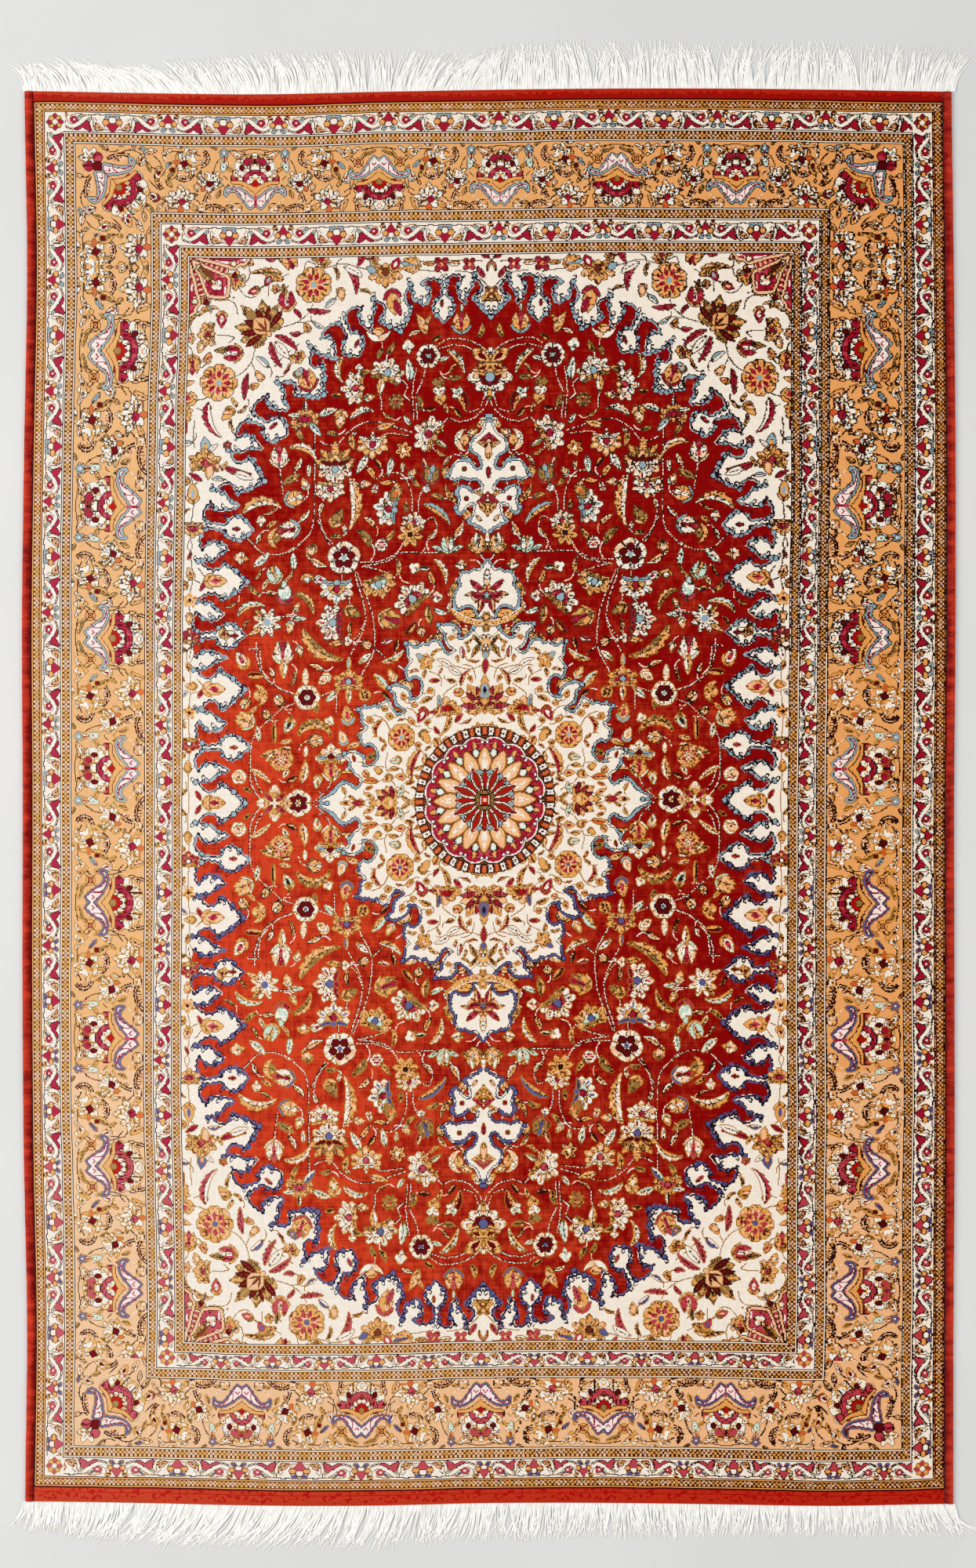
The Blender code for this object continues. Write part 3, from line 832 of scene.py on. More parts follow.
# The middle star climbs in steps. A step goes from a corner along an edge with a small curl,
# round a bulb of red ground, out to a curled lancet and back round a smaller bulb.
STAR_STEP, STAR_CORNERS, STAR_TOP, STAR_TIP = places("""
    0,0 -4,-6 -5,-12 -6,-18 -10,-21 -5,-26 -3,-31 -6,-41 -11,-39 -16,-40 -21,-46 -22,-54 -18,-61
    -13,-64 -6,-64 -7,-60 -6,-55 -1,-51 6,-49 16,-50 13,-54 9,-58 8,-65 4,-72 -3,-77 3,-81
    8,-80 11,-75 15,-70 17,-66 23,-67 27,-72 32,-70 36,-72 43,-73;
    37,245 91,178 141,105;
    0,201 9,200 14,190;
    138,21 144,16 150,20 157,21 163,18 167,11 172,0
""")
steps = [(x + side, y + along) for x, y in STAR_CORNERS for side, along in STAR_STEP]
MIDDLE_STAR = STAR_TOP + steps[13:-10] + STAR_TIP
for outline in (CROSS, FAN + [(0, FAN[-1][1])], MIDDLE_STAR + [(0, 0)]):
    inside = within(quarter.shape, ragged(smooth(outline), 1.8, 4.6))
    ribbon(quarter, ~grow(~inside), "inb", True)
# Blue knobs on the tips of the three shapes.
for x, y in places("53,196 89,176 107,128 141,104 156,55 175,0 2,428 46,362 36,326")[0]:
    spot(quarter, x, y, 2.4, "bn")
stroke(quarter, [(40, 213), (28, 203), (12, 198), (-2, 197)], "ggs", 1.5, 5.0)
stroke(quarter, [(38, 214), (26, 206), (12, 201), (-2, 200)], "w")
for points in places("""
    0,152 16,146 34,150 52,150; 30,130 44,120 46,114; 10,136 14,148 24,152; 48,128 50,138 62,145;
    60,78 74,76; 74,88 78,100 88,104 90,96; 84,10 100,20 110,40 108,56; 100,0 82,0;
    100,60 104,76 112,92 124,98; 124,4 140,2; 60,92 52,100; 112,40 126,42 140,46
"""):
    stroke(quarter, points, "s")
draw(quarter, """
    palmette 0 403 0 14 ccwgs 5, leaf 7 397 60 12 ggs 60, leaf 0 389 0 20 ggs, leaf 0 365 180 14 ccs,
    star 27 369 0 6 uus 4, star 24 336 0 6 ccs 4, palmette 0 336 0 16 ccwgs 5, leaf 6 326 30 14 ggs,
    leaf 0 322 180 14 gcs, leaf 10 342 70 12 ggs 40, leaf 10 314 40 9 ggs, leaf 12 291 0 17 mws,
    leaf 8 278 130 14 ggs -50, leaf 18 284 -60 12 ogs -60, leaf 0 291 0 16 cws,
    palmette 0 232 0 22 gcbcs 5, leaf 11 228 70 18 ccs -40, leaf 12 239 50 18 ccs -30,
    leaf 0 248 0 20 gws, leaf 6 217 165 18 gcs, leaf 20 229 100 9 ggs, star 0 204 0 11 ggs 6,
    star 0 192 0 9 oos 5, rosette 0 175 0 19 wogs 4, leaf 11 167 150 16 oos, leaf 11 180 40 12 oos,
    bud 0 162 180 11 bbos, leaf 0 149 180 18 ccs, leaf 26 165 10 14 cis, leaf 31 158 190 9 ggs,
    star 66 155 0 18 ggs 5, bud 73 161 60 10 bbgs, leaf 45 154 60 19 iis 30, leaf 34 144 60 18 iis -30,
    feather 24 138 -30 22 cgs -70, leaf 57 134 90 13 ccs, lotus 0 118 0 44 ggcbs,
    lotus 0 107 180 20 ggcgs, bud 0 122 0 18 bnbs, palmette 42 106 5 22 gcrgs 5, leaf 50 111 10 14 bbs,
    bud 70 96 150 19 cwcs, leaf 57 99 90 10 ccs, feather 41 84 160 28 ggs -70, leaf 29 92 -40 14 ccs,
    rosette 93 72 0 30 gcbs 8, feather 122 84 160 24 gcs 110, bud 66 72 -150 17 ggos,
    feather 82 42 165 40 gcs 80, bud 99 47 100 13 mgos, bud 108 27 120 12 ggos, lotus 113 0 90 32 ggcgs,
    leaf 93 12 -20 16 mms 60, bud 141 0 90 14 ccgs, leaf 154 0 90 14 ggs, leaf 148 6 60 9 ggs,
    leaf 128 8 60 14 ggs 30, leaf 84 22 100 12 ggs, bud 119 36 60 10 ggos, leaf 34 188 50 10 iis
""")

sow(quarter[-212:, :184], "i", "S", (9, 7, 5.5, 4.5), 4, 47, [
    (feather, 2.0, "cgs", 80), (leaf, 2.1, "gos", 50), (feather, 2.2, "ggS", -90), (bud, 1.7, "gcgS"),
    (star, 1.6, "gcS", 6), (leaf, 2.0, "ccs", -60), (leaf, 2.0, "qgS", 40), (tulip, 1.8, "gcgs"),
])
worked(quarter, quarter >= 0, ("wsg", "gup", "msw", "okg", "cdC"), 51)

# The round flower in the middle of the rug. Its rings are shares of its half width and half
# length, from the outermost in.
ROUND_HALF_WIDTH = 78
ROUND_HALF_LENGTH = 82
patch, u, v = near(quarter, 0, 0, 0, 90)
u, v = u / ROUND_HALF_WIDTH, v / ROUND_HALF_LENGTH
radius, angle = np.hypot(u, v), np.arctan2(u, v)
link = np.abs((np.degrees(angle) / 11.25 + 0.5) % 1 - 0.5)
patch[radius < 1.0] = INK["k"]
in_ring = np.abs(radius - 0.935) < 0.05
for chosen, ink in ((link < 0.23, "u"), (link < 0.12, "q"), (link > 0.33, "w")):
    patch[in_ring & chosen] = INK[ink]
patch[(np.abs(radius - 0.935) < 0.02) & (link > 0.45)] = INK["k"]
scallop = 0.82 + 0.05 * np.abs(np.sin(8 * angle))
patch[(radius < 0.87) & (radius > scallop + 0.015)] = INK["u"]
patch[radius < scallop] = INK["w"]
patch[radius < scallop - 0.02] = INK["c"]
beside = spokes(*turned(u, v, 11.25), 16)[1]
dye(patch, np.hypot(np.abs(beside) - 0.034, radius - 0.79) < 0.02, "wk")


def flower_ring(first, start, length, width, inks, belly=1.0, every=16):
    """A ring of petals, their feet at the start; first is the first one's share of a step."""
    for number in range(-1, every // 2 + 1):
        across, ahead = turned(u, v, (number + first) * 360 / every)
        dye(patch, petal(across, ahead - start, length, width, belly), inks)


flower_ring(0.5, 0.66, 0.15, 0.055, "gu")
for first, width in ((0.4, 0.05), (0.6, 0.05), (0.5, 0.09)):
    flower_ring(first, 0.59, 0.12, width, "mk")
flower_ring(0.5, 0.6, 0.1, 0.05, "w")
flower_ring(0.0, 0.18, 0.53, 0.16, "pgSu", 1.3)
flower_ring(0.0, 0.25, 0.42, 0.07, "i", 1.3)
flower_ring(0.5, 0.30, 0.12, 0.12, "bk")
for first, length in ((0.0, 0.36), (0.5, 0.41)):
    for start, width, inks in ((0.0, 0.135, "wk"), (0.03, 0.105, "u"), (0.07, 0.045, "r")):
        flower_ring(first, 0.06 + start, length - start, width, inks, 1.2, 8)
patch[radius < 0.15] = INK["k"]
patch[(radius < 0.14) & (spokes(u, v, 24)[2] > 0.6)] = INK["o"]
square = np.maximum(np.abs(u), np.abs(v))
for half_side, ink in ((0.08, "k"), (0.065, "w"), (0.055, "r"), (0.025, "p")):
    patch[square < half_side] = INK[ink]
worked(patch, radius < 0.8, ("pgi", "igp", "cdC"), 55)

field = np.concatenate([quarter, quarter[::-1][:-6]])
field = np.concatenate([field[:, ::-1], field], axis=1)

# ---------------------------------------------------------------------------------------
# Borders of the chart: a wide gold one between two ivory guards, with a lattice band on every seam.
# Each is charted once, from the middle of one flower to the middle of the next, with the
# outer edge of the rug upwards, and woven mirrored along all four sides.

# The guard: white scrolls between brown lines, and thin stems.
GUARD_SPAN = 60
GUARD_DEPTH = 22
guard = np.full((GUARD_DEPTH, GUARD_SPAN), INK["i"], np.uint8)
for inks, width, line in (
    ("wu", 3.2, "9,20 9,13 13,8 18,7 24,10 29,14.5 35,18"), ("wu", 2.2, "37,15 38,8 41,2"),
    ("k", 1, "34,19 41,20 52,20 60,21"), ("k", 1, "40,17 43,14"), ("k", 1, "8,6.5 12,4.4 17,2.6"),
    ("s", 1, "39.5,12 39.5,6 43,2.4 49,3 55,3"), ("S", 1.6, "14,18 20,20 28,20 34,19"),
    ("u", 1, "53,17 50,12 52,6"),
):
    stroke(guard, places(line)[0], inks, width)
# Its crimson flag with two feet, and the points of its two flowers.
for inks, outline in (
    ("ck", "33.5,14.5 30,11 25,7 18,3 23,3.2 26.5,4.8 29,6.4 31,4 36.5,2.2 35,8"),
    ("cu", "0,21.5 3,17.5 6,14.6 4.5,12.5 -5,12.5 -6,14.6 -3,17.5"),
    ("cu", "60,1 56.5,4.5 54.4,8 57,10 63,10 65.6,8 63.5,4.5"),
):
    dye(guard, within(guard.shape, smooth(places(outline)[0], closed=True)), inks)
draw(guard, """
    leaf 24.5 16.3 52 9 bms 0 0.45, leaf 9.5 19 75 7 ggs, leaf 45 6.5 130 11 pgu -60,
    leaf 35 14.5 60 5 mms 0 0.6, leaf 4.2 5.2 130 7 bbs 0 0.6, leaf 55.6 18 -65 8 bbs 0 0.6
""")
for x, y, radius, inks in (
    (6.6, 11.6, 2.6, "gu"), (0, 9.4, 2.7, "wu"), (53, 11.6, 2.8, "gu"), (60, 13.8, 3.1, "wu"),
    (18.4, 13.8, 3.5, "cu"), (19, 14, 1.3, "w"),
):
    spot(guard, x, y, radius, inks)

# The guard's corner: a small flower of eight petals.
guard_corner = np.full((22, 22), INK["i"], np.uint8)
for angle in range(0, 360, 45):
    patch, u, v = near(guard_corner, 11, 11, angle, 11)
    dye(patch, petal(u, v - 2, 7, 5), ("g" if angle % 90 else "c") + "s")
spot(guard_corner, 11, 11, 2.6, "wd")


def comb(chart, x, y, turn, size, inks, bend=120):
    """A hooked leaf: two brown lines with a light one between them, and teeth on their inner
    side that grow towards its middle."""
    patch, u, v = near(chart, x, y, turn, size)
    across, along = bent(u, v, size, bend)
    across = across * math.copysign(1, bend)
    inside = (along > 0) & (along < size)
    swell = size * 0.24 * np.sin(np.pi * np.clip(along / size, 0, 1))
    patch[inside & (across > -0.8) & (across < swell + 2)] = INK[inks[0]]
    patch[inside & (along % 4 < 1.5) & (across > 2) & (across < swell)] = INK["u"]
    for line in (-0.8, 1.8):
        patch[inside & (np.abs(across - line) < 0.75) & (along % 11 < 10)] = INK[inks[1]]


def blossom(chart, x, y, turn, size, inks):
    """A ragged white flower: unequal notched petals round a square heart at its foot, and two
    coloured ears below them."""
    patch, u, v = near(chart, x, y, turn, size)
    for angle in (-104, 104, 150):
        dye(patch, petal(*turned(u, v, angle), size * 0.5, size * 0.24, 1.2), inks[2] + inks[3])
    lengths = {-84: 0.52, 78: 0.46, -52: 0.5, 48: 0.62, -24: 0.66, 16: 0.54, 0: 0.4}
    for angle, length in lengths.items():
        across, ahead = turned(u, v + size * 0.12, angle)
        dye(patch, petal(across, ahead, size * length, size * 0.3, 1.2, 2.4), inks[0] + inks[3])
        patch[(np.abs(across) < 0.5) & (ahead > size * 0.2) & (ahead < size * length * 0.7)] = INK[inks[3]]
    dye(patch, petal(*turned(u, v + size * 0.1, 190), size * 0.36, size * 0.24), inks[0] + inks[3])
    patch[petal(u, v + size * 0.05, size * 0.4, size * 0.3)] = INK[inks[0]]
    dye(patch, np.maximum(np.abs(u), np.abs(v + size * 0.1)) < size * 0.1, inks[1] + "k")


# The wide border's palmette, from its foot forward: a pair of pink wings in blue, a gold
# chevron, and a crimson flower, which is either a half rose or a spray.
CHEVRON, WING, *WING_VEINS = places("""
    0,20.5 7.3,25.5 14,29.5 21,32 32,33 31,35.8 16,34.8 9,32 0,28;
    0,5.5 2.5,2.2 7,0 11,2 13,5.5 15.5,7 17.5,11 22,15.5 26,20 31.5,21.8 36,20 38.5,16.8 40.5,15.8
    42.6,20.5 40,26.4 33,28.5 24.5,28.2 18,25.4 11.6,22 5.3,17.5 0,13.5;
    17,8 13,13 14,20; 4,9 7,12 10,9; 19,16 23,22 29,24.5 34,25; 0,4 0,18
""")
# Round parts: side, ahead, radius, silks. Each is tied on both sides.
ROSE = [
    (29, 40, 6.6, "ws"), (21, 56, 7.5, "ws"), (27, 50, 5.5, "ws"), (9, 61, 6.6, "ws"),
    (0, 62, 7.0, "ws"), (14, 59, 5, "ws"), (28.5, 40, 4.9, "ck"), (24, 38, 3, "c"),
]
SPRAY = [
    (0, 68, 3.4, "ws"), (5, 60, 5.4, "ck"), (19, 54, 7.6, "wb"), (28, 39, 5.0, "ck"),
    (26, 45, 4.4, "ws"), (19, 38, 5, "ws"), (17.5, 46, 5.2, "ws"), (9.5, 51, 5.4, "ws"),
    (0, 53, 5.4, "ws"), (17.5, 53, 3.0, "dk"), (10, 60, 4.6, "cs"),
]


MOTIFS.update(comb=comb, blossom=blossom)


# Width and height in mm of one knot of the border's chart, as the ring stretches it.
KNOT_WIDTH = 1.25
KNOT_HEIGHT = 1.08


def great_palmette(chart, x, y, turn, arched):
    """The palmette's round parts, then half rings about a point on the chevron, and the wings.
    Its places are in real millimetres; the chart's knots are a little larger."""
    patch, u, v = near(chart, x, y, turn, 80)
    u, v = u * KNOT_WIDTH, v * KNOT_HEIGHT
    for side, ahead, radius, inks in ROSE if arched else SPRAY:
        dye(patch, np.hypot(np.abs(u) - side, v - ahead) < radius, inks)
    rise = v - 32.5
    radius, scallop = np.hypot(u, rise), np.cos(np.arctan2(u, rise) * 5) ** 2
    ahead = v > 30
    if arched:
        dye(patch, (radius < 23.5) & ahead, "ck")
        for angle in (-1.3, -0.78, -0.26, 0.26, 0.78, 1.3):
            tooth = np.hypot(u - 13.4 * math.sin(angle), rise - 13.4 * math.cos(angle))
            dye(patch, tooth < 3.0, "wk")
        dye(patch, (radius < 10) & ahead, "r")
        dye(patch, np.hypot(u, v - 33) < 4, "ou")
        patch[(np.abs(u - 13) < 0.7) & (radius > 22.8) & (v > 45) & (v < 68)] = INK["k"]
        patch[(np.abs(u + 3) < 0.7) & (radius > 25) & (v > 45) & (v < 66)] = INK["k"]
        dye(patch, np.hypot(np.abs(u) - 19, v - 52.5) < 2.9, "dk")
    else:
        dye(patch, (radius < 17.5) & ahead, "ck")
        dye(patch, (radius < 10 + 2.2 * scallop) & ahead, "wk")
        dye(patch, np.abs(u) + np.abs(rise) < 5, "ru")
        patch[(np.abs(u) < 0.8) & (v > 57) & (v < 65)] = INK["k"]
    for side in (-1, 1):
        chevron, wing, *veins = (
            placed(np.array(line) / (KNOT_WIDTH, KNOT_HEIGHT), x, y, turn, side)
            for line in (CHEVRON, WING, *WING_VEINS)
        )
        dye(chart, within(chart.shape, smooth(chevron, closed=True)), "gu")
        wing = within(chart.shape, smooth(wing, closed=True))
        dye(chart, wing, "bs")
        chart[~grow(~wing, 2)] = INK["u"]
        chart[~grow(~wing, 3)] = INK["P"]
        for vein in veins:
            stroke(chart, vein, "c")


# The wide border, from a spray palmette to an arched one.
MAIN_SPAN = 137
MAIN_DEPTH = 78
main = np.full((MAIN_DEPTH, MAIN_SPAN), INK["G"], np.uint8)
# Thin brown stems first, then the flowers that sit on them.
for points in places("""
    10,72 24,74 34,68 42,58 46,46; 0,76 14,74; 58,68 70,72 90,72 100,68 108,58; 104,22 108,34 110,44;
    104,22 98,18 92,20 90,26; 98,24 104,28 104,36 97,38 94,33; 60,12 66,18 62,22 70,24; 52,4 53,16 50,24;
    118,72 128,74 137,74; 20,62 17,68 10,70 4,66; 80,24 84,30; 112,20 108,14 112,6; 34,44 30,40;
    86,52 84,60; 54,56 60,60
"""):
    stroke(main, points, "k")
draw(main, """
    comb 42 9 80 34 pk 110, comb 52 22 150 20 pk 40, comb 49 63 170 26 pk -150, comb 77 38 90 30 pk -150,
    comb 112 12 20 26 pk 110, leaf 97 8 200 18 gps -60, rosette 20 6 0 11 pwpk 4, rosette 58 6 0 9 pwpk 4,
    leaf 67 7 50 14 pgs, blossom 49 37 -10 29 wdqs, blossom 81 16 30 33 wcqs, blossom 73 60 -60 31 wdqs,
    bud 34 55 165 13 mwws, bud 33 64 175 9 wrws, star 33 71 0 11 bws 5, leaf 20 69 60 16 wps -60,
    leaf 9 66 -60 13 wps 50, bud 101 41 10 13 wcws, leaf 88 46 -30 18 gos 30, leaf 95 55 130 12 bbs,
    star 89 51 0 5 dds 4, trefoil 102 69 0 16 wgs, leaf 94 72 -60 12 wps, leaf 111 72 60 12 wps,
    rosette 114 58 0 10 gdds 4, leaf 126 70 70 16 gos 50, leaf 120 66 20 9 gos, leaf 64 30 20 10 wgs,
    leaf 60 46 -20 12 wos, leaf 40 22 160 10 gos, leaf 31 30 150 9 gps, leaf 106 50 -20 9 ggs,
    leaf 27 52 60 9 ggs, leaf 84 66 0 9 ggs, leaf 66 73 90 10 wps, leaf 92 34 20 9 ggs,
    leaf 70 47 0 9 gos, leaf 29 8 90 9 pgs, leaf 126 6 90 10 pgs
""")
great_palmette(main, 0, 5, 0, False)
great_palmette(main, MAIN_SPAN, MAIN_DEPTH - 13, 180, True)
sow(main, "G", "k", (8, 6.5, 5.5), 4, 45, [
    (leaf, 1.9, "Gpk", 40), (leaf, 1.9, "wps", -50), (bud, 1.8, "wcgs"), (leaf, 1.8, "oGk"),
    (star, 1.8, "wds", 5), (blossom, 2.1, "wrqs"),
])

worked(main, main >= 0, ("wsp", "cdC", "pug", "Pww"), 52)

# The corners of the wide border: the arched palmette on the diagonal, its fan to the field.
CORNER_REACH = 98
corner = np.full((CORNER_REACH, CORNER_REACH), INK["G"], np.uint8)


def both_legs(motif, x, y, turn, *settings):
    """Draws a motif on the corner's upper leg and, mirrored, on its side leg."""
    motif(corner, x, y, turn, *settings)
    motif(corner, CORNER_REACH - y, CORNER_REACH - x, 90 - turn, *settings)


for points in places("44,86 58,93 72,88 80,76 90,72; 84,88 92,80 96,66; 80,60 90,50 96,52"):
    stroke(corner, points, "k")
    stroke(corner, [(CORNER_REACH - y, CORNER_REACH - x) for x, y in points], "k")
for settings in (
    (comb, 46, 88, 80, 26, "pk", 60), (comb, 88, 58, 160, 18, "pk", -60), (bud, 72, 83, 20, 14, "wdws"),
    (leaf, 82, 92, 80, 16, "wps", 40), (bud, 91, 68, 200, 15, "wdgs"), (bud, 84, 42, -60, 15, "wdcs"),
    (leaf, 80, 74, 160, 12, "gos"), (leaf, 74, 94, 100, 10, "bbs"),
):
    both_legs(*settings)
great_palmette(corner, 25, CORNER_REACH - 25, 135, True)
star(corner, 15, CORNER_REACH - 15, 0, 24, "wos", 6)
for x, y in ((24, 14), (14, 24)):
    spot(corner, x, CORNER_REACH - y, 5, "ck")
patch, u, v = near(corner, 24, CORNER_REACH - 24, 0, 8)
dye(patch, np.maximum(np.abs(u), np.abs(v)) < 4, "dk")
sow(corner, "G", "k", (8, 6.5, 5.5), 4, 46, [
    (leaf, 1.9, "Gpk", 40), (leaf, 1.9, "wps", -50), (leaf, 1.8, "oGk"),
])

worked(corner, corner >= 0, ("wsp", "cdC", "pug", "Pww"), 53)

# ---------------------------------------------------------------------------------------
# Knot plan. The charts are laid out on the whole cloth as the weaver meets them: end bands,
# then ring by ring from the outside to the field. Widths run: upper, lower, left, right.

PLAN_ROWS = CLOTH_LENGTH
UPPER_BAND = 12
LOWER_BAND = 17
knot_plan = np.full((PLAN_ROWS, CLOTH_WIDTH), INK["e"], np.uint8)
rows, columns = np.mgrid[:PLAN_ROWS, :CLOTH_WIDTH]
# The end bands: red silk that frays to orange at the edge, with a dark row by the borders that is painted
# shadow.
inward = np.minimum(rows, PLAN_ROWS - 1 - rows)
fray = hash_noise(columns / 3.0, rows / 2.2, 55)
knot_plan[(fray < -0.35) | np.isin(inward, (UPPER_BAND - 1, LOWER_BAND - 1))] = INK["r"]
knot_plan[inward < 4.5 + 3 * fray] = INK["E"]
# Painted shadow: one dark row where each end band meets the borders.
knot_plan[(rows == UPPER_BAND - 1) | (rows == PLAN_ROWS - LOWER_BAND)] = INK["d"]


def seen_from(edges, widths):
    """Each knot's depth from the four edges of a ring, the side it belongs to, and whether the
    ring holds it. Its side is the one whose edge is nearest, measured in widths of the ring, so
    that the sides meet in mitres."""
    top, low, left, right = edges
    depths = np.stack([rows - top, low - 1 - rows, columns - left, right - 1 - columns])
    shares = depths / np.array(widths)[:, None, None]
    return depths, shares.argmin(0), (shares.min(0) >= 0) & (shares.min(0) < 1)


def ring(edges, widths, ink_of):
    """Fills one ring of the plan, side by side, and gives the edges of what it encloses."""
    depths, side, in_ring = seen_from(edges, widths)
    for number in range(4):
        held = in_ring & (side == number)
        place = (columns if number < 2 else rows)[held]
        knot_plan[held] = ink_of(number, depths[number][held], place, widths[number])
    top, low, left, right = edges
    return top + widths[0], low - widths[1], left + widths[2], right - widths[3]


def lattice(pale, edge):
    """Two dark lines, and between pale and amber ones a net of crossed dark lines: a knot is
    on the net where its place, more or less its depth, is a whole number of five knots."""
    def inks(side, depth, place, width):
        net = ((depth - width // 2) * 0.75).round().astype(int)
        woven = np.where(place % 23 < 12, INK["g"], INK["p"])
        for slope in (place + net, place - net):
            woven[slope % 5 == 0] = INK["k"]
        for line, ink in enumerate(("k", pale, edge)):
            woven[(depth == line) | (depth == width - 1 - line)] = INK[ink]
        return woven

    return inks


def repeat(chart, stations):
    """Weaves a chart to and fro along a ring: stations give, for each side, places and the
    number of the flower there, and an even number is the chart's start."""
    high, wide = chart.shape

    def inks(side, depth, place, width):
        number = np.interp(place, *stations[side])
        share = np.abs((number + 1) % 2 - 1)
        column = np.minimum((share * wide).astype(int), wide - 1)
        return chart[depth * high // width, column]

    return inks


# How wide the rings are, and where their flowers come on each side: places in knots from the
# upper left corner, and the numbers of the flowers there. The weaver spaced them unevenly.
GUARD_WIDTHS = (21, 20, 20, 22)
MAIN_WIDTHS = (73, 76, 81, 84)
INNER_WIDTHS = (23, 16, 19, 19)
sides = (36, 766, 1532), (-0.8, 11, 23.4)
GUARD_FLOWERS = ((24, 512, 1003), (-8, 0, 8)), ((24, 507, 1003), (-7, 0, 9)), sides, sides
sides = (105, 194, 287, 461, 608, 753, 903, 1054, 1198, 1333, 1465), (-3, -3.55, *range(-3, 6))
upper = (101, 241, 380, 514, 644, 778, 912), range(-3, 4)
lower = (101, 234, 369, 502, 639, 774, 912), range(-3, 4)
MAIN_FLOWERS = upper, lower, sides, sides
sides = (157, 766, 1412), (1.2, 11, 21.4)
INNER_FLOWERS = ((151, 513, 858), (-6, 0, 6)), ((151, 502, 858), (-7, -1, 5)), sides, sides

edges = (UPPER_BAND, PLAN_ROWS - LOWER_BAND, 0, CLOTH_WIDTH)
edges = outer_guard = ring(edges, (12, 12, 12, 13), lattice("g", "u"))
edges = ring(edges, GUARD_WIDTHS, repeat(guard, GUARD_FLOWERS))
edges = wide_border = ring(edges, (14, 14, 13, 12), lattice("i", "s"))
edges = ring(edges, MAIN_WIDTHS, repeat(main, MAIN_FLOWERS))
edges = inner_guard = ring(edges, (14, 13, 12, 12), lattice("i", "s"))
edges = ring(edges, INNER_WIDTHS, repeat(guard, INNER_FLOWERS))
top, low, left, right = ring(edges, (14, 13, 12, 12), lattice("i", "s"))
knot_plan[top:low, left:right] = field


def corners(edges, widths, chart):
    """Lays a chart drawn for the upper left corner on all four corners of a ring, as far as
    the ring's own knots go."""
    depths, _, in_ring = seen_from(edges, widths)
    row, column = depths[:2].min(0), depths[2:].min(0)
    held = in_ring & (row < chart.shape[0]) & (column < chart.shape[1])
    knot_plan[held] = chart[row[held], column[held]]


corners(outer_guard, GUARD_WIDTHS, guard_corner)
corners(inner_guard, INNER_WIDTHS, guard_corner)
corners(wide_border, MAIN_WIDTHS, corner)

# New dye lots, where the weaver's next batch of silk came out another shade.
DYE_LOTS = [
    # (silk, new silk, first row)
    ("s", "S", 625), ("b", "B", 860), ("c", "C", 1180), ("G", "H", 1090), ("e", "E", 1556),
]
for silk, new_silk, first_row in DYE_LOTS:
    part = knot_plan[first_row:]
    part[part == INK[silk]] = INK[new_silk]

# Painted shade: towards the right, as the nap hides the light, more and more knots beside a dark one are
# tied dark.
dark = np.isin(knot_plan, [INK[letter] for letter in "nkus"])
hidden = np.random.default_rng(54).random(knot_plan.shape) < np.interp(columns, (420, 760), (0, 0.62))
knot_plan[np.roll(dark, 1, axis=1) & hidden & (knot_plan != INK["."])] = INK["k"]

# ---------------------------------------------------------------------------------------
# Knotted cloth. Silk pile tied on a silk warp, clipped to a few millimetres and washed. It is
# woven in one sheet, and its knots show on the back too.

# Least height of the level pile, height of the flat back under it, and how far in from the
# edge the pile begins to round down.
PILE_LEAST = 0.0042
FOUNDATION = 0.0012
SHOULDER = 0.006
# The mesh has one face for each block of this many knots.
KNOT_COLUMNS = 5
KNOT_ROWS = 4
PLAN_BASE = 32
# On the maps: how far a wall's places stay inside its block, as a share of the block, the gap
# between the lengths of a strip, and the width of its walls.
EDGE_INSET = 0.02
STRIP_GAP = 0.016
WALL_HEM = 0.005

cad_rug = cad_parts["rug"]
rim = np.empty(len(cad_rug.data.vertices) * 3, np.float32)
cad_rug.data.vertices.foreach_get("co", rim)
rim = rim.reshape(-1, 3).astype(float)
rim = rim[rim[:, 2] < MM * 0.01]


def side_line(sign):
    """The cloth's left (-1) or right (1) edge, read off the frame: x for each y."""
    points = rim[sign * rim[:, 0] > CLOTH_WIDTH * MM / 2 - 0.010]
    points = points[np.argsort(points[:, 1])]
    return points[:, 1], points[:, 0]


def end_line(sign):
    """The cloth's lower (-1) or upper (1) edge, read off the frame: y for each x."""
    points = rim[sign * rim[:, 1] > CLOTH_LENGTH * MM / 2 - 0.010]
    points = points[np.argsort(points[:, 0])]
    return points[:, 0], points[:, 1]


SIDE_LINES = {sign: side_line(sign) for sign in (-1, 1)}
END_LINES = {sign: end_line(sign) for sign in (-1, 1)}


def lay_down(x, y):
    """Where a place of the knot plan lies: plan lines are drawn out to the wandering edges of
    the cloth, in proportion to the distance from the middle, the middle columns drift a few
    millimetres aside along the length, and rows and columns sway a little between the edges."""
    half_x, half_y = CLOTH_WIDTH * MM / 2, CLOTH_LENGTH * MM / 2
    u, v = x / half_x, y / half_y
    left = np.interp(y, *SIDE_LINES[-1]) + half_x
    right = np.interp(y, *SIDE_LINES[1]) - half_x
    lower = np.interp(x, *END_LINES[-1]) + half_y
    upper = np.interp(x, *END_LINES[1]) - half_y
    fade = np.clip((1 - np.abs(u)) * 24, 0, 1) * np.clip((1 - np.abs(v)) * 36, 0, 1)
    sway_x = fade * MM * (0.8 * hash_noise(x * 7, y * 9, 5) + 0.35 * hash_noise(x * 30, y * 45, 6))
    sway_y = fade * MM * (0.9 * hash_noise(x * 9, y * 5, 7) + 0.4 * hash_noise(x * 45, y * 25, 8))
    drift = (-2 + 6 * v + 3 * v ** 2) * (1 - u ** 2) * MM
    new_x = x + (left * (1 - u) + right * (1 + u)) / 2 + drift + sway_x
    new_y = y + (lower * (1 - v) + upper * (1 + v)) / 2 + sway_y
    return new_x, new_y


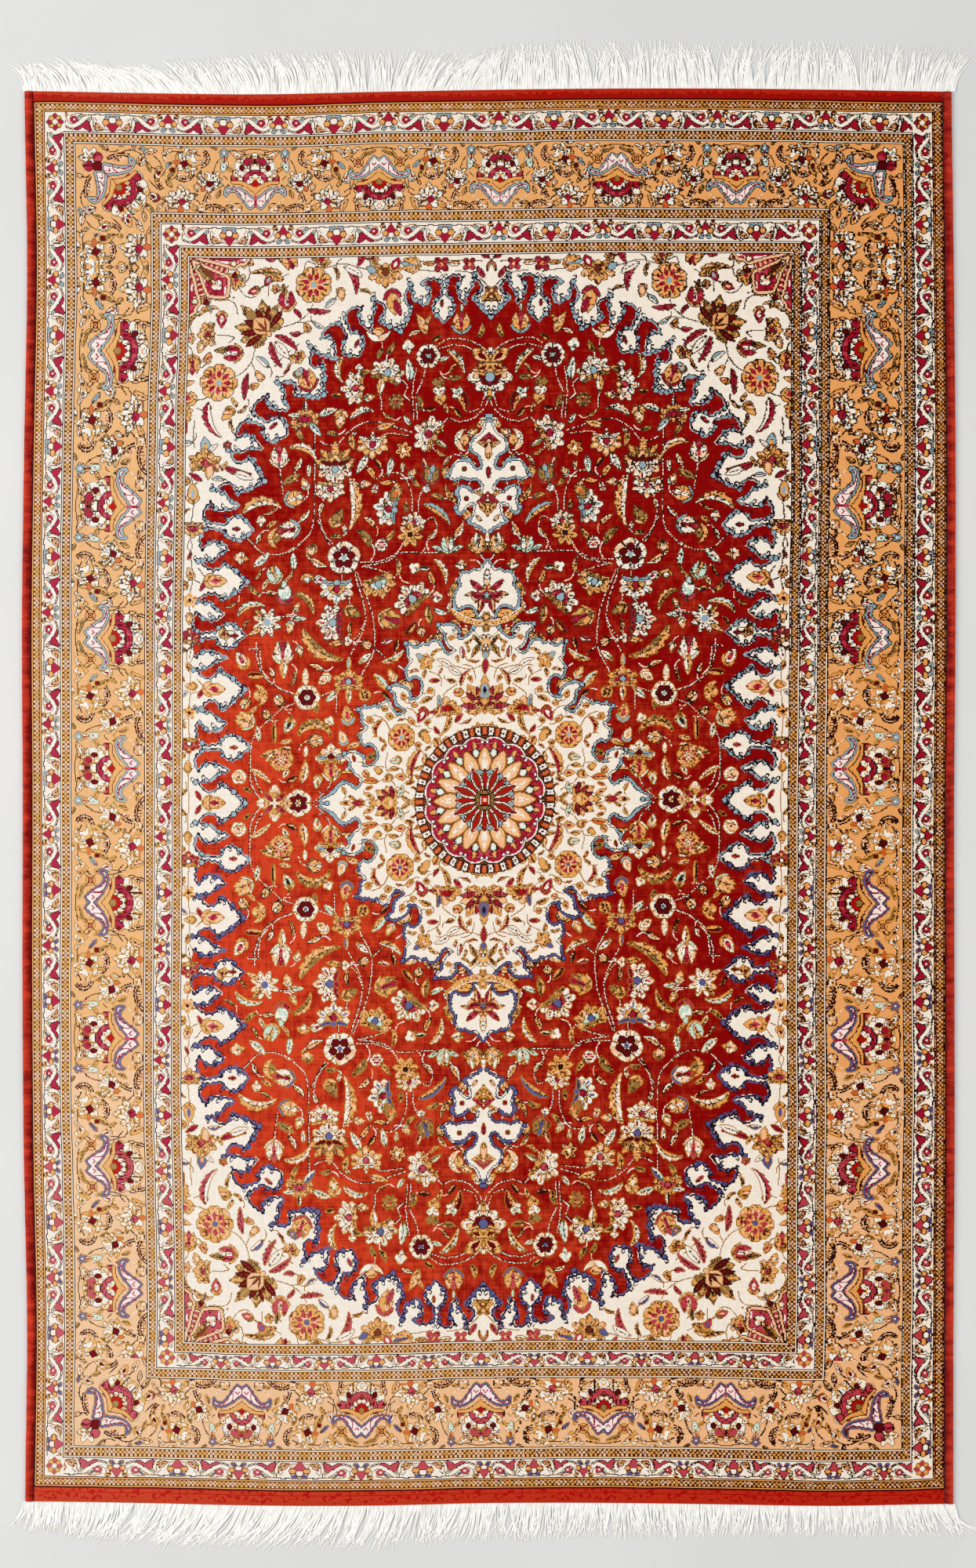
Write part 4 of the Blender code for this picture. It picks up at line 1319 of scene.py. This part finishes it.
def pile_height(x, y):
    """Height of the clipped pile: level, a little uneven, rounded down over the last few
    millimetres before each edge."""
    half_x, half_y = CLOTH_WIDTH * MM / 2, CLOTH_LENGTH * MM / 2
    inward = np.minimum(half_x - np.abs(x), half_y - np.abs(y))
    shoulder = np.clip(inward / SHOULDER, 0, 1)
    fall = np.sqrt(np.clip(1 - (1 - shoulder) ** 2, 0, 1))
    uneven = 0.00022 * hash_noise(x * 22, y * 18, 11) + 0.0001 * hash_noise(x * 90, y * 70, 12)
    return PILE_LEAST * (0.62 + 0.38 * fall) + (uneven + 0.0004) * fall


def packed_knots(knots):
    """Five numbers for each block of knots, five knots wide and four high: each number holds
    one column of the block, its four knots as the digits of a number in base 32."""
    high, wide = knots.shape
    blocks = knots.reshape(high // KNOT_ROWS, KNOT_ROWS, wide // KNOT_COLUMNS, KNOT_COLUMNS)
    digits = PLAN_BASE ** np.arange(KNOT_ROWS)
    return np.einsum("arbc,r->abc", blocks.astype(np.int64), digits).astype(np.float32)


def mesh_piece(name, points, faces, material, rounded=True):
    """A mesh object from arrays: points, and a list of face arrays that each hold faces with the same
    number of corners. It rides on the rug and takes the given material."""
    corners = np.concatenate([part.ravel() for part in faces])
    counts = np.concatenate([np.full(len(part), part.shape[1]) for part in faces])
    mesh = bpy.data.meshes.new(name)
    mesh.vertices.add(len(points))
    mesh.vertices.foreach_set("co", np.asarray(points, np.float32).ravel())
    mesh.loops.add(len(corners))
    mesh.loops.foreach_set("vertex_index", corners.astype(np.int32))
    mesh.polygons.add(len(counts))
    starts = np.concatenate([[0], np.cumsum(counts)[:-1]])
    mesh.polygons.foreach_set("loop_start", starts.astype(np.int32))
    mesh.update(calc_edges=True)
    mesh.polygons.foreach_set("use_smooth", np.full(len(counts), rounded))
    mesh.materials.append(material)
    piece = bpy.data.objects.new(name, mesh)
    scene.collection.objects.link(piece)
    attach(piece, "root")
    return piece


def numbers(mesh, name, values, domain="FACE"):
    """Stores one number for each face or point."""
    layer = mesh.attributes.new(name, "FLOAT", domain)
    layer.data.foreach_set("value", np.asarray(values, np.float32))


def corner_places(mesh, name, parts):
    """Stores a UV map, two numbers for each face corner, from a list of arrays."""
    layer = mesh.uv_layers.new(name=name)
    places = np.concatenate([part.reshape(-1, 2) for part in parts])
    layer.data.foreach_set("uv", places.astype(np.float32).ravel())


def strip_map(flat, cells, edge, edge_blocks, wide, high, folds):
    """The bake map of a strip of cloth: its sheet cut into side-by-side lengths, each wall as a
    narrow hem outside its edge, and the hidden face as a sliver beyond them."""
    strip_width = wide * KNOT_COLUMNS * MM
    length = CLOTH_LENGTH * MM / folds
    fold_of = np.minimum((np.repeat(np.arange(high), wide) * folds) // high, folds - 1)

    def folded(places, fold):
        moved = places.copy()
        moved[..., 0] += (fold * (strip_width + STRIP_GAP) + STRIP_GAP / 2)[:, None]
        moved[..., 1] -= (fold * length - STRIP_GAP / 2)[:, None]
        return moved

    outward = [(0.0, 1.0), (1.0, 0.0), (0.0, -1.0), (-1.0, 0.0)]
    drop = np.repeat(outward, (wide, high, wide, high), axis=0) * WALL_HEM
    start, end = flat[edge], flat[np.roll(edge, -1)]
    walls = np.stack([start, start + drop, end + drop, end], 1)
    sliver = flat[edge[::-1]] * (0.02, 0.002) + (0.0, length + 1.6 * STRIP_GAP)
    extent = max(folds * (strip_width + STRIP_GAP), length + 2 * STRIP_GAP)
    maps = (folded(flat[cells], fold_of), folded(walls, fold_of[edge_blocks]), sliver[None])
    return [part / extent for part in maps]


def knotted_slab(name, first_column, last_column, folds, face_up, material):
    """A strip of the cloth, all its length: a sheet of blocks, five knots by four, that shows
    the knot plan, walls round it, and one plain face on the hidden side."""
    wide = (last_column - first_column) // KNOT_COLUMNS
    high = PLAN_ROWS // KNOT_ROWS
    x_plan = (np.arange(wide + 1) * KNOT_COLUMNS + first_column) * MM - CLOTH_WIDTH * MM / 2
    y_plan = CLOTH_LENGTH * MM / 2 - np.arange(high + 1) * KNOT_ROWS * MM
    x, y = np.meshgrid(x_plan, y_plan)
    shown = pile_height(x, y) if face_up else np.zeros_like(x)
    sheet = np.stack([*lay_down(x, y), shown], -1).reshape(-1, 3)
    number = np.arange(x.size).reshape(x.shape)
    cells = np.stack([number[1:, :-1], number[1:, 1:], number[:-1, 1:], number[:-1, :-1]], -1)
    cells = cells.reshape(-1, 4)
    block = np.arange(wide * high).reshape(high, wide)
    # The edge runs round the sheet counter-clockwise: along the lower end, up the right side,
    # back along the upper end and down the left side.
    edge = np.concatenate([number[-1, :-1], number[:0:-1, -1], number[0, :0:-1], number[:-1, 0]])
    edge_blocks = np.concatenate([block[-1], block[::-1, -1], block[0, ::-1], block[:, 0]])
    below = sheet[edge].copy()
    below[:, 2] = FOUNDATION
    under = len(sheet) + np.arange(len(edge))
    walls = np.stack([edge, under, np.roll(under, -1), np.roll(edge, -1)], -1)
    way_round = 1 if face_up else -1
    faces = [part[:, ::way_round] for part in (cells, walls, under[::-1][None])]
    piece = mesh_piece(name, np.concatenate([sheet, below]), faces, material)
    plan = packed_knots(knot_plan[:, first_column:last_column])
    blocks = np.concatenate([block.ravel(), edge_blocks])
    for column in range(KNOT_COLUMNS):
        packed = plan[..., column].ravel()[blocks]
        numbers(piece.data, f"knots_{column}", np.append(packed, packed[0]))
    # Places inside each block, from its upper left knot: a wall stays at its block's own edge.
    square = np.tile([(0.0, 1.0), (1.0, 1.0), (1.0, 0.0), (0.0, 0.0)], (len(cells), 1, 1))
    near_side, far_side = EDGE_INSET, 1 - EDGE_INSET
    runs = [
        ((0, far_side), (1, far_side), wide),
        ((far_side, 1), (far_side, 0), high),
        ((1, near_side), (0, near_side), wide),
        ((near_side, 0), (near_side, 1), high),
    ]
    wall_places = [np.tile([start, start, end, end], (times, 1, 1)) for start, end, times in runs]
    places = [square, np.concatenate(wall_places), np.full((1, len(edge), 2), 0.5)]
    flat = np.stack([x - x[0, 0], y[0, 0] - y], -1).reshape(-1, 2)
    maps = strip_map(flat, cells, edge, edge_blocks, wide, high, folds)
    corner_places(piece.data, "cell", [part[:, ::way_round] for part in places])
    corner_places(piece.data, "OFBake", [part[:, ::way_round] for part in maps])
    piece.data.set_sharp_from_angle(angle=math.radians(50))
    return piece


def maths(tree, operation, *values):
    """One step of arithmetic on numbers or sockets."""
    inputs = dict(enumerate(values))
    return add_node(tree, "ShaderNodeMath", inputs, operation=operation).outputs[0]


def mottle(tree, place, size, low, high, detail=2.0):
    """Soft noise over an object's coordinates. Size is its grain in mm along x and y, and low
    and high are the values between which most of it runs."""
    scale = (1 / (size[0] * MM), 1 / (size[1] * MM), 0.0)
    grain = add_node(tree, "ShaderNodeVectorMath", {0: place, 1: scale}, operation="MULTIPLY")
    noise = add_node(
        tree, "ShaderNodeTexNoise",
        {"Vector": grain.outputs[0], "Scale": 1.0, "Detail": detail}, noise_dimensions="2D",
    )
    spread = {"Value": noise.outputs["Fac"], 1: 0.3, 2: 0.7, 3: low, 4: high}
    return add_node(tree, "ShaderNodeMapRange", spread, clamp=False).outputs[0]


def mixed(tree, share, first, second, blend="MIX"):
    """Two colours blended by a share."""
    inputs = {"Factor": share, 6: first, 7: second}
    settings = {"data_type": "RGBA", "blend_type": blend}
    return add_node(tree, "ShaderNodeMix", inputs, **settings).outputs[2]


def knot_ink(tree):
    """The plan's number for the knot at each place. The block's five stored numbers are told
    apart by column, and the column's four knots by dividing by powers of the base."""
    cell = add_node(tree, "ShaderNodeUVMap", uv_map="cell").outputs["UV"]
    place = add_node(tree, "ShaderNodeSeparateXYZ", {"Vector": cell})

    def step(value, count):
        whole = maths(tree, "FLOOR", maths(tree, "MULTIPLY", value, float(count)))
        return maths(tree, "MINIMUM", whole, float(count - 1))

    column = step(place.outputs["X"], KNOT_COLUMNS)
    row = step(place.outputs["Y"], KNOT_ROWS)
    packed = 0.0
    for number in range(KNOT_COLUMNS):
        stored = add_node(tree, "ShaderNodeAttribute", attribute_name=f"knots_{number}")
        here = maths(tree, "COMPARE", column, float(number), 0.5)
        packed = maths(tree, "MULTIPLY_ADD", here, stored.outputs["Fac"], packed)
    divisor = 1.0
    for number in range(1, KNOT_ROWS):
        more = float(PLAN_BASE ** number - PLAN_BASE ** (number - 1))
        past = maths(tree, "GREATER_THAN", row, number - 0.5)
        divisor = maths(tree, "MULTIPLY_ADD", past, more, divisor)
    whole = maths(tree, "FLOOR", maths(tree, "DIVIDE", packed, divisor))
    return maths(tree, "FLOORED_MODULO", whole, float(PLAN_BASE))


def silk_colour(tree, ink):
    """The dyed silk of each number of the plan: one ramp of flat steps."""
    share = maths(tree, "DIVIDE", maths(tree, "ADD", ink, 0.5), float(PLAN_BASE))
    ramp = add_node(tree, "ShaderNodeValToRGB", {"Fac": share})
    ramp.color_ramp.interpolation = "CONSTANT"
    steps = ramp.color_ramp.elements
    for number, (_, colour, _) in enumerate(SILKS):
        element = steps[number] if number < 1 else steps.new(number / PLAN_BASE)
        element.color = linear(colour)
    steps.remove(steps[-1])
    return ramp.outputs["Color"]


def knotted_silk(name, knot_depth, painted_sheen_strength):
    """Dyed silk in knots of one millimetre. The madder reds took the dye unevenly, in blotches and from
    row to row, and the whole pile is a little streaked along and across the weave; blotches and streaks
    are partly dye and partly painted sheen of the nap. Painted shade deepens the silks towards the right
    and the upper end."""
    material, tree, output = new_material(name)
    place = add_node(tree, "ShaderNodeTexCoord").outputs["Object"]
    ink = knot_ink(tree)
    colour = silk_colour(tree, ink)
    axes = add_node(tree, "ShaderNodeSeparateXYZ", {"Vector": place})

    def slope(axis, start, stop, first, last, **settings):
        run = {"Value": axes.outputs[axis], 1: start, 2: stop, 3: first, 4: last}
        return add_node(tree, "ShaderNodeMapRange", run, **settings).outputs[0]

    # Painted shade: the nap leans to the left, so from the right, and from the upper end, the eye looks
    # into the pile, and every silk but white is painted deeper there.
    depth = maths(tree, "ADD", slope("X", -0.42, 0.5, 0.9, PAINTED_SHADE_GAMMA), slope("Y", 0.35, 0.8, 0.0, 0.08))
    colour = add_node(tree, "ShaderNodeGamma", {"Color": colour, "Gamma": depth}).outputs[0]
    # The red ground: deep in the upper right, towards vermilion in the lower left, partly uneven dye and
    # partly painted sheen where the nap catches the light; the blotches too are partly dye and partly
    # painted sheen.
    across = slope("X", -0.24, 0.34, 1.0, 0.05)
    along = slope("Y", 0.40, 0.0, 0.30, 0.95, interpolation_type="SMOOTHSTEP")
    red_dye_and_sheen = maths(tree, "MULTIPLY", maths(tree, "MULTIPLY", across, along), painted_sheen_strength)
    blotches = {(7, 9): 0.2, (26, 20): 0.18, (90, 60): 0.16, (160, 2.0): 0.14, (2.2, 30): 0.1}
    for size, spread in blotches.items():
        red_dye_and_sheen = maths(tree, "ADD", red_dye_and_sheen, mottle(tree, place, size, -spread, spread))
    red_dye_and_sheen = maths(tree, "SUBTRACT", red_dye_and_sheen, 0.06)
    red_dye_and_sheen = maths(tree, "POWER", maths(tree, "MAXIMUM", red_dye_and_sheen, 0.0), 1.5)
    is_red = maths(tree, "COMPARE", ink, float(INK["."]), 0.5)
    red = mixed(tree, red_dye_and_sheen, linear(DEEP_RED), linear(BRIGHT_RED))
    colour = mixed(tree, is_red, colour, red)
    # Painted shade darkens the red ground towards the right, and painted light lifts the other silks a
    # little there. The per-knot tone and the streaks along and across the weave are partly dye and partly
    # painted nap sheen.
    painted_shade_on_reds, painted_lift_right = slope("X", -0.3, 0.5, 0.0, -0.2), slope("X", -0.5, 0.5, 1.0, 1.08)
    shade = maths(tree, "MULTIPLY_ADD", is_red, painted_shade_on_reds, painted_lift_right)
    shade = maths(tree, "MULTIPLY", shade, mottle(tree, place, (1.1, 1.1), 0.91, 1.07))
    for size, spread in (((5, 6), 0.03), ((120, 1.6), 0.03), ((1.6, 40), 0.03)):
        shade = maths(tree, "MULTIPLY", shade, mottle(tree, place, size, 1 - spread, 1 + spread))
    shade = add_node(tree, "ShaderNodeCombineColor", {0: shade, 1: shade, 2: shade}).outputs[0]
    colour = mixed(tree, 1.0, colour, shade, "MULTIPLY")
    nap = maths(tree, "ADD", mottle(tree, place, (1.0, 1.0), 0, 1), mottle(tree, place, (9, 12), 0, 1))
    bump = add_node(tree, "ShaderNodeBump", {"Height": nap, "Strength": 0.5, "Distance": knot_depth})
    gloss = mottle(tree, place, (14, 10), 0.46, 0.62)
    coat(tree, output, {
        "Base Color": colour, "Roughness": gloss, "Normal": bump.outputs["Normal"],
        "Specular IOR Level": 0.03,
    })
    return material


# Cut silk pile: the ends of the knots face up, deep in colour, with a soft low gloss.
# Ends of the red ground, mixed by uneven dye and by a painted sheen; then the gamma of the painted shade.
DEEP_RED = "#890000"
BRIGHT_RED = "#D04020"
PAINTED_SHADE_GAMMA = 1.35
cut_pile = knotted_silk("cut_silk_pile", 0.0004, 1.0)
# Knot backs on the warp: the same colours pressed flat, with a shallower bump.
# The knot backs carry the same painted shade and half the painted sheen on the red.
knot_backs = knotted_silk("silk_knot_backs", 0.0002, 0.5)

# ---------------------------------------------------------------------------------------
# The cloth. One weaving, shown in four strips of pile so that each gets a sharp baked
# picture, over the flat back that carries the same knots.

pile_strips = [
    knotted_slab("pile_left_border", 0, 175, 3, True, cut_pile),
    knotted_slab("pile_field_left", 175, 505, 2, True, cut_pile),
    knotted_slab("pile_field_right", 505, 840, 2, True, cut_pile),
    knotted_slab("pile_right_border", 840, CLOTH_WIDTH, 3, True, cut_pile),
]
foundation = knotted_slab("foundation", 0, CLOTH_WIDTH, 1, False, knot_backs)
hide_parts("rug")

# ---------------------------------------------------------------------------------------
# Selvedges. Along each side a few warps are bundled and overcast with red silk, wrap by wrap,
# into a flat cord as thick as the cloth.

# The gap to the cloth, and the sizes of the cord and of its wraps.
GAP = 0.0003
CORD_WIDTH = 0.0100
CORD_THICKNESS = 0.0044
WRAP_PITCH = 0.0013
CORD_SIDES = 12
# On the bake map: how many lengths the cord is cut into, the width of one side, and their gap.
CORD_FOLDS = 8
SKIN_STEP = 0.0024
SKIN_GAP = 0.002

overcasting, tree, output = new_material("overcast_red_silk")
# Red silk floss wound across the cord: fine ridges along it; painted shade and light across it, dark red
# on the side by the cloth and bright red on the outer side.
place = add_node(tree, "ShaderNodeTexCoord").outputs["Object"]
outward = add_node(tree, "ShaderNodeAttribute", attribute_name="outward").outputs["Fac"]
for size, spread in (((30, 9), 0.3), ((12, 60), 0.2), ((40, 1.4), 0.06), ((2, 2), 0.16)):
    outward = maths(tree, "ADD", outward, mottle(tree, place, size, -spread, spread))
red = two_tones(tree, outward, "#740404", "#D23A20")
ridges = mottle(tree, place, (40, 1.3), 0, 1)
bump = add_node(tree, "ShaderNodeBump", {"Height": ridges, "Strength": 0.6, "Distance": 0.0005})
coat(tree, output, {
    "Base Color": red, "Roughness": 0.5, "Specular IOR Level": 0.08,
    "Normal": bump.outputs["Normal"],
})


def ring_faces(rings, sides):
    """Quads that join rings of points into a tube, then the two caps."""
    number = np.arange(rings * sides).reshape(rings, sides)
    low, high = number[:-1], number[1:]
    quads = np.stack([low, np.roll(low, -1, 1), np.roll(high, -1, 1), high], -1)
    return quads.reshape(-1, 4), number[:1, ::-1], number[-1:]


def cord_map(oval, along):
    """The cord's bake map: its skin laid flat, in lengths side by side, then its two ends."""
    steps = len(along) - 1
    fold = (np.arange(steps) * CORD_FOLDS) // steps
    lane = CORD_SIDES * SKIN_STEP + SKIN_GAP
    length = along[-1] / CORD_FOLDS
    side = np.arange(CORD_SIDES) * SKIN_STEP
    left = (fold * lane)[:, None] + side
    below = (along[:-1] - fold * length)[:, None] + 0 * side
    above = (along[1:] - fold * length)[:, None] + 0 * side
    skin = [(left, below), (left + SKIN_STEP, below), (left + SKIN_STEP, above), (left, above)]
    skin = np.stack([np.stack(corner, -1) for corner in skin], -2).reshape(-1, 2)
    cap = oval * 0.002
    ends = [cap[::-1] + (0.003, length + 0.004), cap + (0.013, length + 0.004)]
    extent = max(CORD_FOLDS * lane, length + 0.012)
    return [part / extent + 0.0005 for part in (skin, *ends)]


def overcast_cord(name, sign, node):
    """A cord along one side. Each wrap is two rings, a full one and a drawn-in one, and every
    ring is a flattened oval, |c|^0.8 of its cosine and sine, that rests on the floor."""
    random = np.random.default_rng(31 + sign)
    y_edge, x_edge = SIDE_LINES[sign]
    low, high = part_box(node)[0][1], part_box(node)[1][1]
    rings = int((high - low) / WRAP_PITCH) * 2 + 1
    y = np.linspace(low, high, rings)
    full = 1 - 0.07 * (np.arange(rings) % 2) + random.normal(0, 0.018, rings)
    full[[0, -1]] = 0.82
    wide = CORD_WIDTH / 2 * np.clip(full + 0.02 * hash_noise(y * 60, y * 0, 32), 0.5, 1.02)
    thick = CORD_THICKNESS / 2 * np.clip(full, 0.5, 1.03)
    middle = np.interp(y, y_edge, x_edge) + sign * (GAP + CORD_WIDTH / 2)
    turn = np.linspace(0, 2 * math.pi, CORD_SIDES, endpoint=False) * -1
    oval = np.stack([np.cos(turn), np.sin(turn)], -1)
    oval = np.sign(oval) * np.abs(oval) ** 0.8
    sway = 0.0004 * hash_noise(y * 300, y * 0 + 3, 33)
    x = middle[:, None] + wide[:, None] * oval[:, 0]
    along = y[:, None] + sway[:, None] * oval[:, 0]
    z = np.maximum(CORD_THICKNESS / 2 + thick[:, None] * oval[:, 1], 0.00005)
    points = np.stack([x, along, z], -1).reshape(-1, 3)
    faces = ring_faces(rings, CORD_SIDES)
    piece = mesh_piece(name, points, faces, overcasting)
    # Painted shade and light: the share falls from the outer side of the cord to the side by the cloth.
    numbers(piece.data, "outward", np.tile(0.42 + 0.4 * sign * oval[:, 0], rings), "POINT")
    corner_places(piece.data, "OFBake", cord_map(oval, y - low))
    piece.data.set_sharp_from_angle(angle=math.radians(60))
    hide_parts(node)
    return piece


overcast_cord("overcast_cord_left", -1, "selvedge_left")
overcast_cord("overcast_cord_right", 1, "selvedge_right")

# ---------------------------------------------------------------------------------------
# Fringes. The ends of the silk warps, knotted in small tufts against the last row and left
# loose. They lie on the floor as they fell, swept one way or the other.

TUFT_PITCH = 0.0066
TUFT_STRANDS = 8
STRAND_RINGS = 10
STRAND_RADIUS = 0.00062

loose_warp, tree, output = new_material("loose_silk_warp")
# Undyed silk warp, untwisted at the tips: ivory white, a little grey between the strands.
place = add_node(tree, "ShaderNodeTexCoord").outputs["Object"]
tone = mottle(tree, place, (3, 9), 0, 1)
white = mixed(tree, tone, linear("#F6F1E8"), linear("#FFFEFA"))
sheen = mottle(tree, place, (6, 6), 0.4, 0.6)
coat(tree, output, {"Base Color": white, "Roughness": sheen, "Specular IOR Level": 0.2})

# How the tufts lie along each end, from the left side (-1) to the right side (1): the reach of
# the tips beyond the cloth in mm, and the lean of roots and tips to the right, as slopes.
UPPER_LIE = [
    # (station, reach, root lean, tip lean)
    (-1.00, 37, -0.05, -0.45), (-0.84, 44, -0.15, -0.75), (-0.72, 46, -0.55, -1.15),
    (-0.62, 47, -0.55, -0.60), (-0.50, 50, 0.05, -0.30), (-0.30, 52, 0.05, -0.15),
    (-0.12, 50, 0.25, 0.70), (-0.04, 53, 0.35, 0.55), (0.02, 57, 0.00, 0.05),
    (0.30, 58, 0.00, -0.08), (0.60, 58, 0.00, 0.06), (0.85, 58, 0.03, 0.10), (1.00, 54, 0.15, 0.40),
]
LOWER_LIE = [
    (-1.00, 36, 0.02, -0.12), (-0.80, 50, -0.20, -0.55), (-0.64, 56, -0.35, -0.70),
    (-0.40, 56, -0.30, -0.55), (-0.20, 53, -0.20, -0.40), (0.00, 47, -0.10, -0.20),
    (0.40, 42, 0.02, 0.04), (0.70, 38, 0.05, 0.00), (0.90, 40, 0.10, 0.20), (1.00, 44, 0.35, 0.60),
]


def strand_map(strands):
    """The fringe's bake map: rows of narrow upright cells, one for each strand, with its three
    sides beside each other and its two ends below them."""
    across = 48
    down = -(-strands // across)
    square = np.array([(0, 0), (0.27, 0), (0.27, 1), (0, 1)])
    ring, side = np.divmod(np.arange((STRAND_RINGS - 1) * 3), 3)
    skin_x = 0.06 + 0.29 * side[:, None] + square[:, 0]
    skin_y = 0.1 + 0.85 * (ring[:, None] + square[:, 1]) / (STRAND_RINGS - 1)
    first = np.array([[(0.1, 0.02), (0.3, 0.02), (0.2, 0.07)]])
    parts = (np.stack([skin_x, skin_y], -1), first, first + (0.4, 0.0))
    cell = np.stack([np.arange(strands) % across, np.arange(strands) // across], -1)
    return [(part + cell[:, None, None]) / (across, down) for part in parts]


def loose_fringe(name, sign, lie, node):
    """All the strands of one end. A strand's middle line runs out from its knot, its slope going
    from the root's lean to the tip's, with a wave on it: x = x0 + out * slope + wave. Each
    strand is a three-sided tube that thins towards its tip."""
    random = np.random.default_rng(60 + sign)
    x_edge, y_edge = END_LINES[sign]
    low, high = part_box("selvedge_left")[0][0] + 0.001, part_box("selvedge_right")[1][0] - 0.001
    tufts = int((high - low) / TUFT_PITCH)
    knots = np.linspace(low + TUFT_PITCH / 2, high - TUFT_PITCH / 2, tufts)
    station, reach, root_lean, tip_lean = np.array(lie, float).T
    # Every tuft has its own lean and reach, and its strands spread a little from it.
    strands = tufts * TUFT_STRANDS
    tuft = np.repeat(np.arange(tufts), TUFT_STRANDS)
    own = random.normal(0, 1, (3, tufts))[:, tuft]
    loose = random.normal(0, 1, (6, strands))
    start = knots[tuft] + TUFT_PITCH * (np.tile(np.linspace(-0.42, 0.42, TUFT_STRANDS), tufts))
    place = start / (CLOTH_WIDTH * MM / 2)
    out = np.interp(place, station, reach) * MM
    out = out * (0.94 + 0.04 * own[0] - 0.07 * np.abs(loose[0]))
    lean = np.interp(place, station, root_lean) + 0.07 * own[1] + 0.05 * loose[1]
    bend = np.interp(place, station, tip_lean) - np.interp(place, station, root_lean)
    bend = bend + 0.14 * own[2] + 0.09 * loose[2]
    share = np.linspace(0, 1, STRAND_RINGS)[:, None]
    ahead = share * out
    wave = 0.0009 * own[0] * np.sin(share * 5.5 + own[1] * 2) * share
    wave = wave + 0.0007 * loose[3] * np.sin(share * (7 + loose[4]) + loose[5] * 3) * share
    x = start + ahead * (lean + bend * share) + wave
    base = np.interp(start, x_edge, y_edge)
    y = base + sign * (GAP + ahead - 0.25 * ahead * np.abs(lean + bend * share) ** 2 * share)
    height = 0.0013 + 0.0006 * random.uniform(-1, 1, strands)
    z = height * (1 - 0.55 * share) + 0.0003 * np.sin(share * 9 + loose[2] * 3)
    radius = STRAND_RADIUS * (1 + 0.18 * loose[4].clip(-2, 2)) * (1.1 - 0.75 * share ** 2)
    middle = np.stack([x, y, np.maximum(z, radius + 0.0001)], -1)
    # Three points round the middle line, square to it in the floor's plane.
    ahead = np.gradient(middle, axis=0)
    ahead = ahead / np.linalg.norm(ahead, axis=-1, keepdims=True)
    aside = np.stack([ahead[..., 1], -ahead[..., 0], 0 * ahead[..., 0]], -1)
    points = []
    for angle in (90, 330, 210):
        angle = math.radians(angle)
        offset = aside * 1.3 * math.cos(angle) + np.array((0, 0, 0.35)) * math.sin(angle)
        points.append(middle + offset * radius[..., None])
    points = np.stack(points, 0).transpose(2, 1, 0, 3)
    quads, first, last = ring_faces(STRAND_RINGS, 3)
    shift = (np.arange(strands) * STRAND_RINGS * 3)[:, None, None]
    faces = [(part + shift).reshape(-1, part.shape[1]) for part in (quads, first, last)]
    piece = mesh_piece(name, points.reshape(-1, 3), faces, loose_warp, rounded=False)
    corner_places(piece.data, "OFBake", strand_map(strands))
    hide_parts(node)
    return piece


loose_fringe("fringe_strands_upper", 1, UPPER_LIE, "fringe_top")
loose_fringe("fringe_strands_lower", -1, LOWER_LIE, "fringe_bottom")
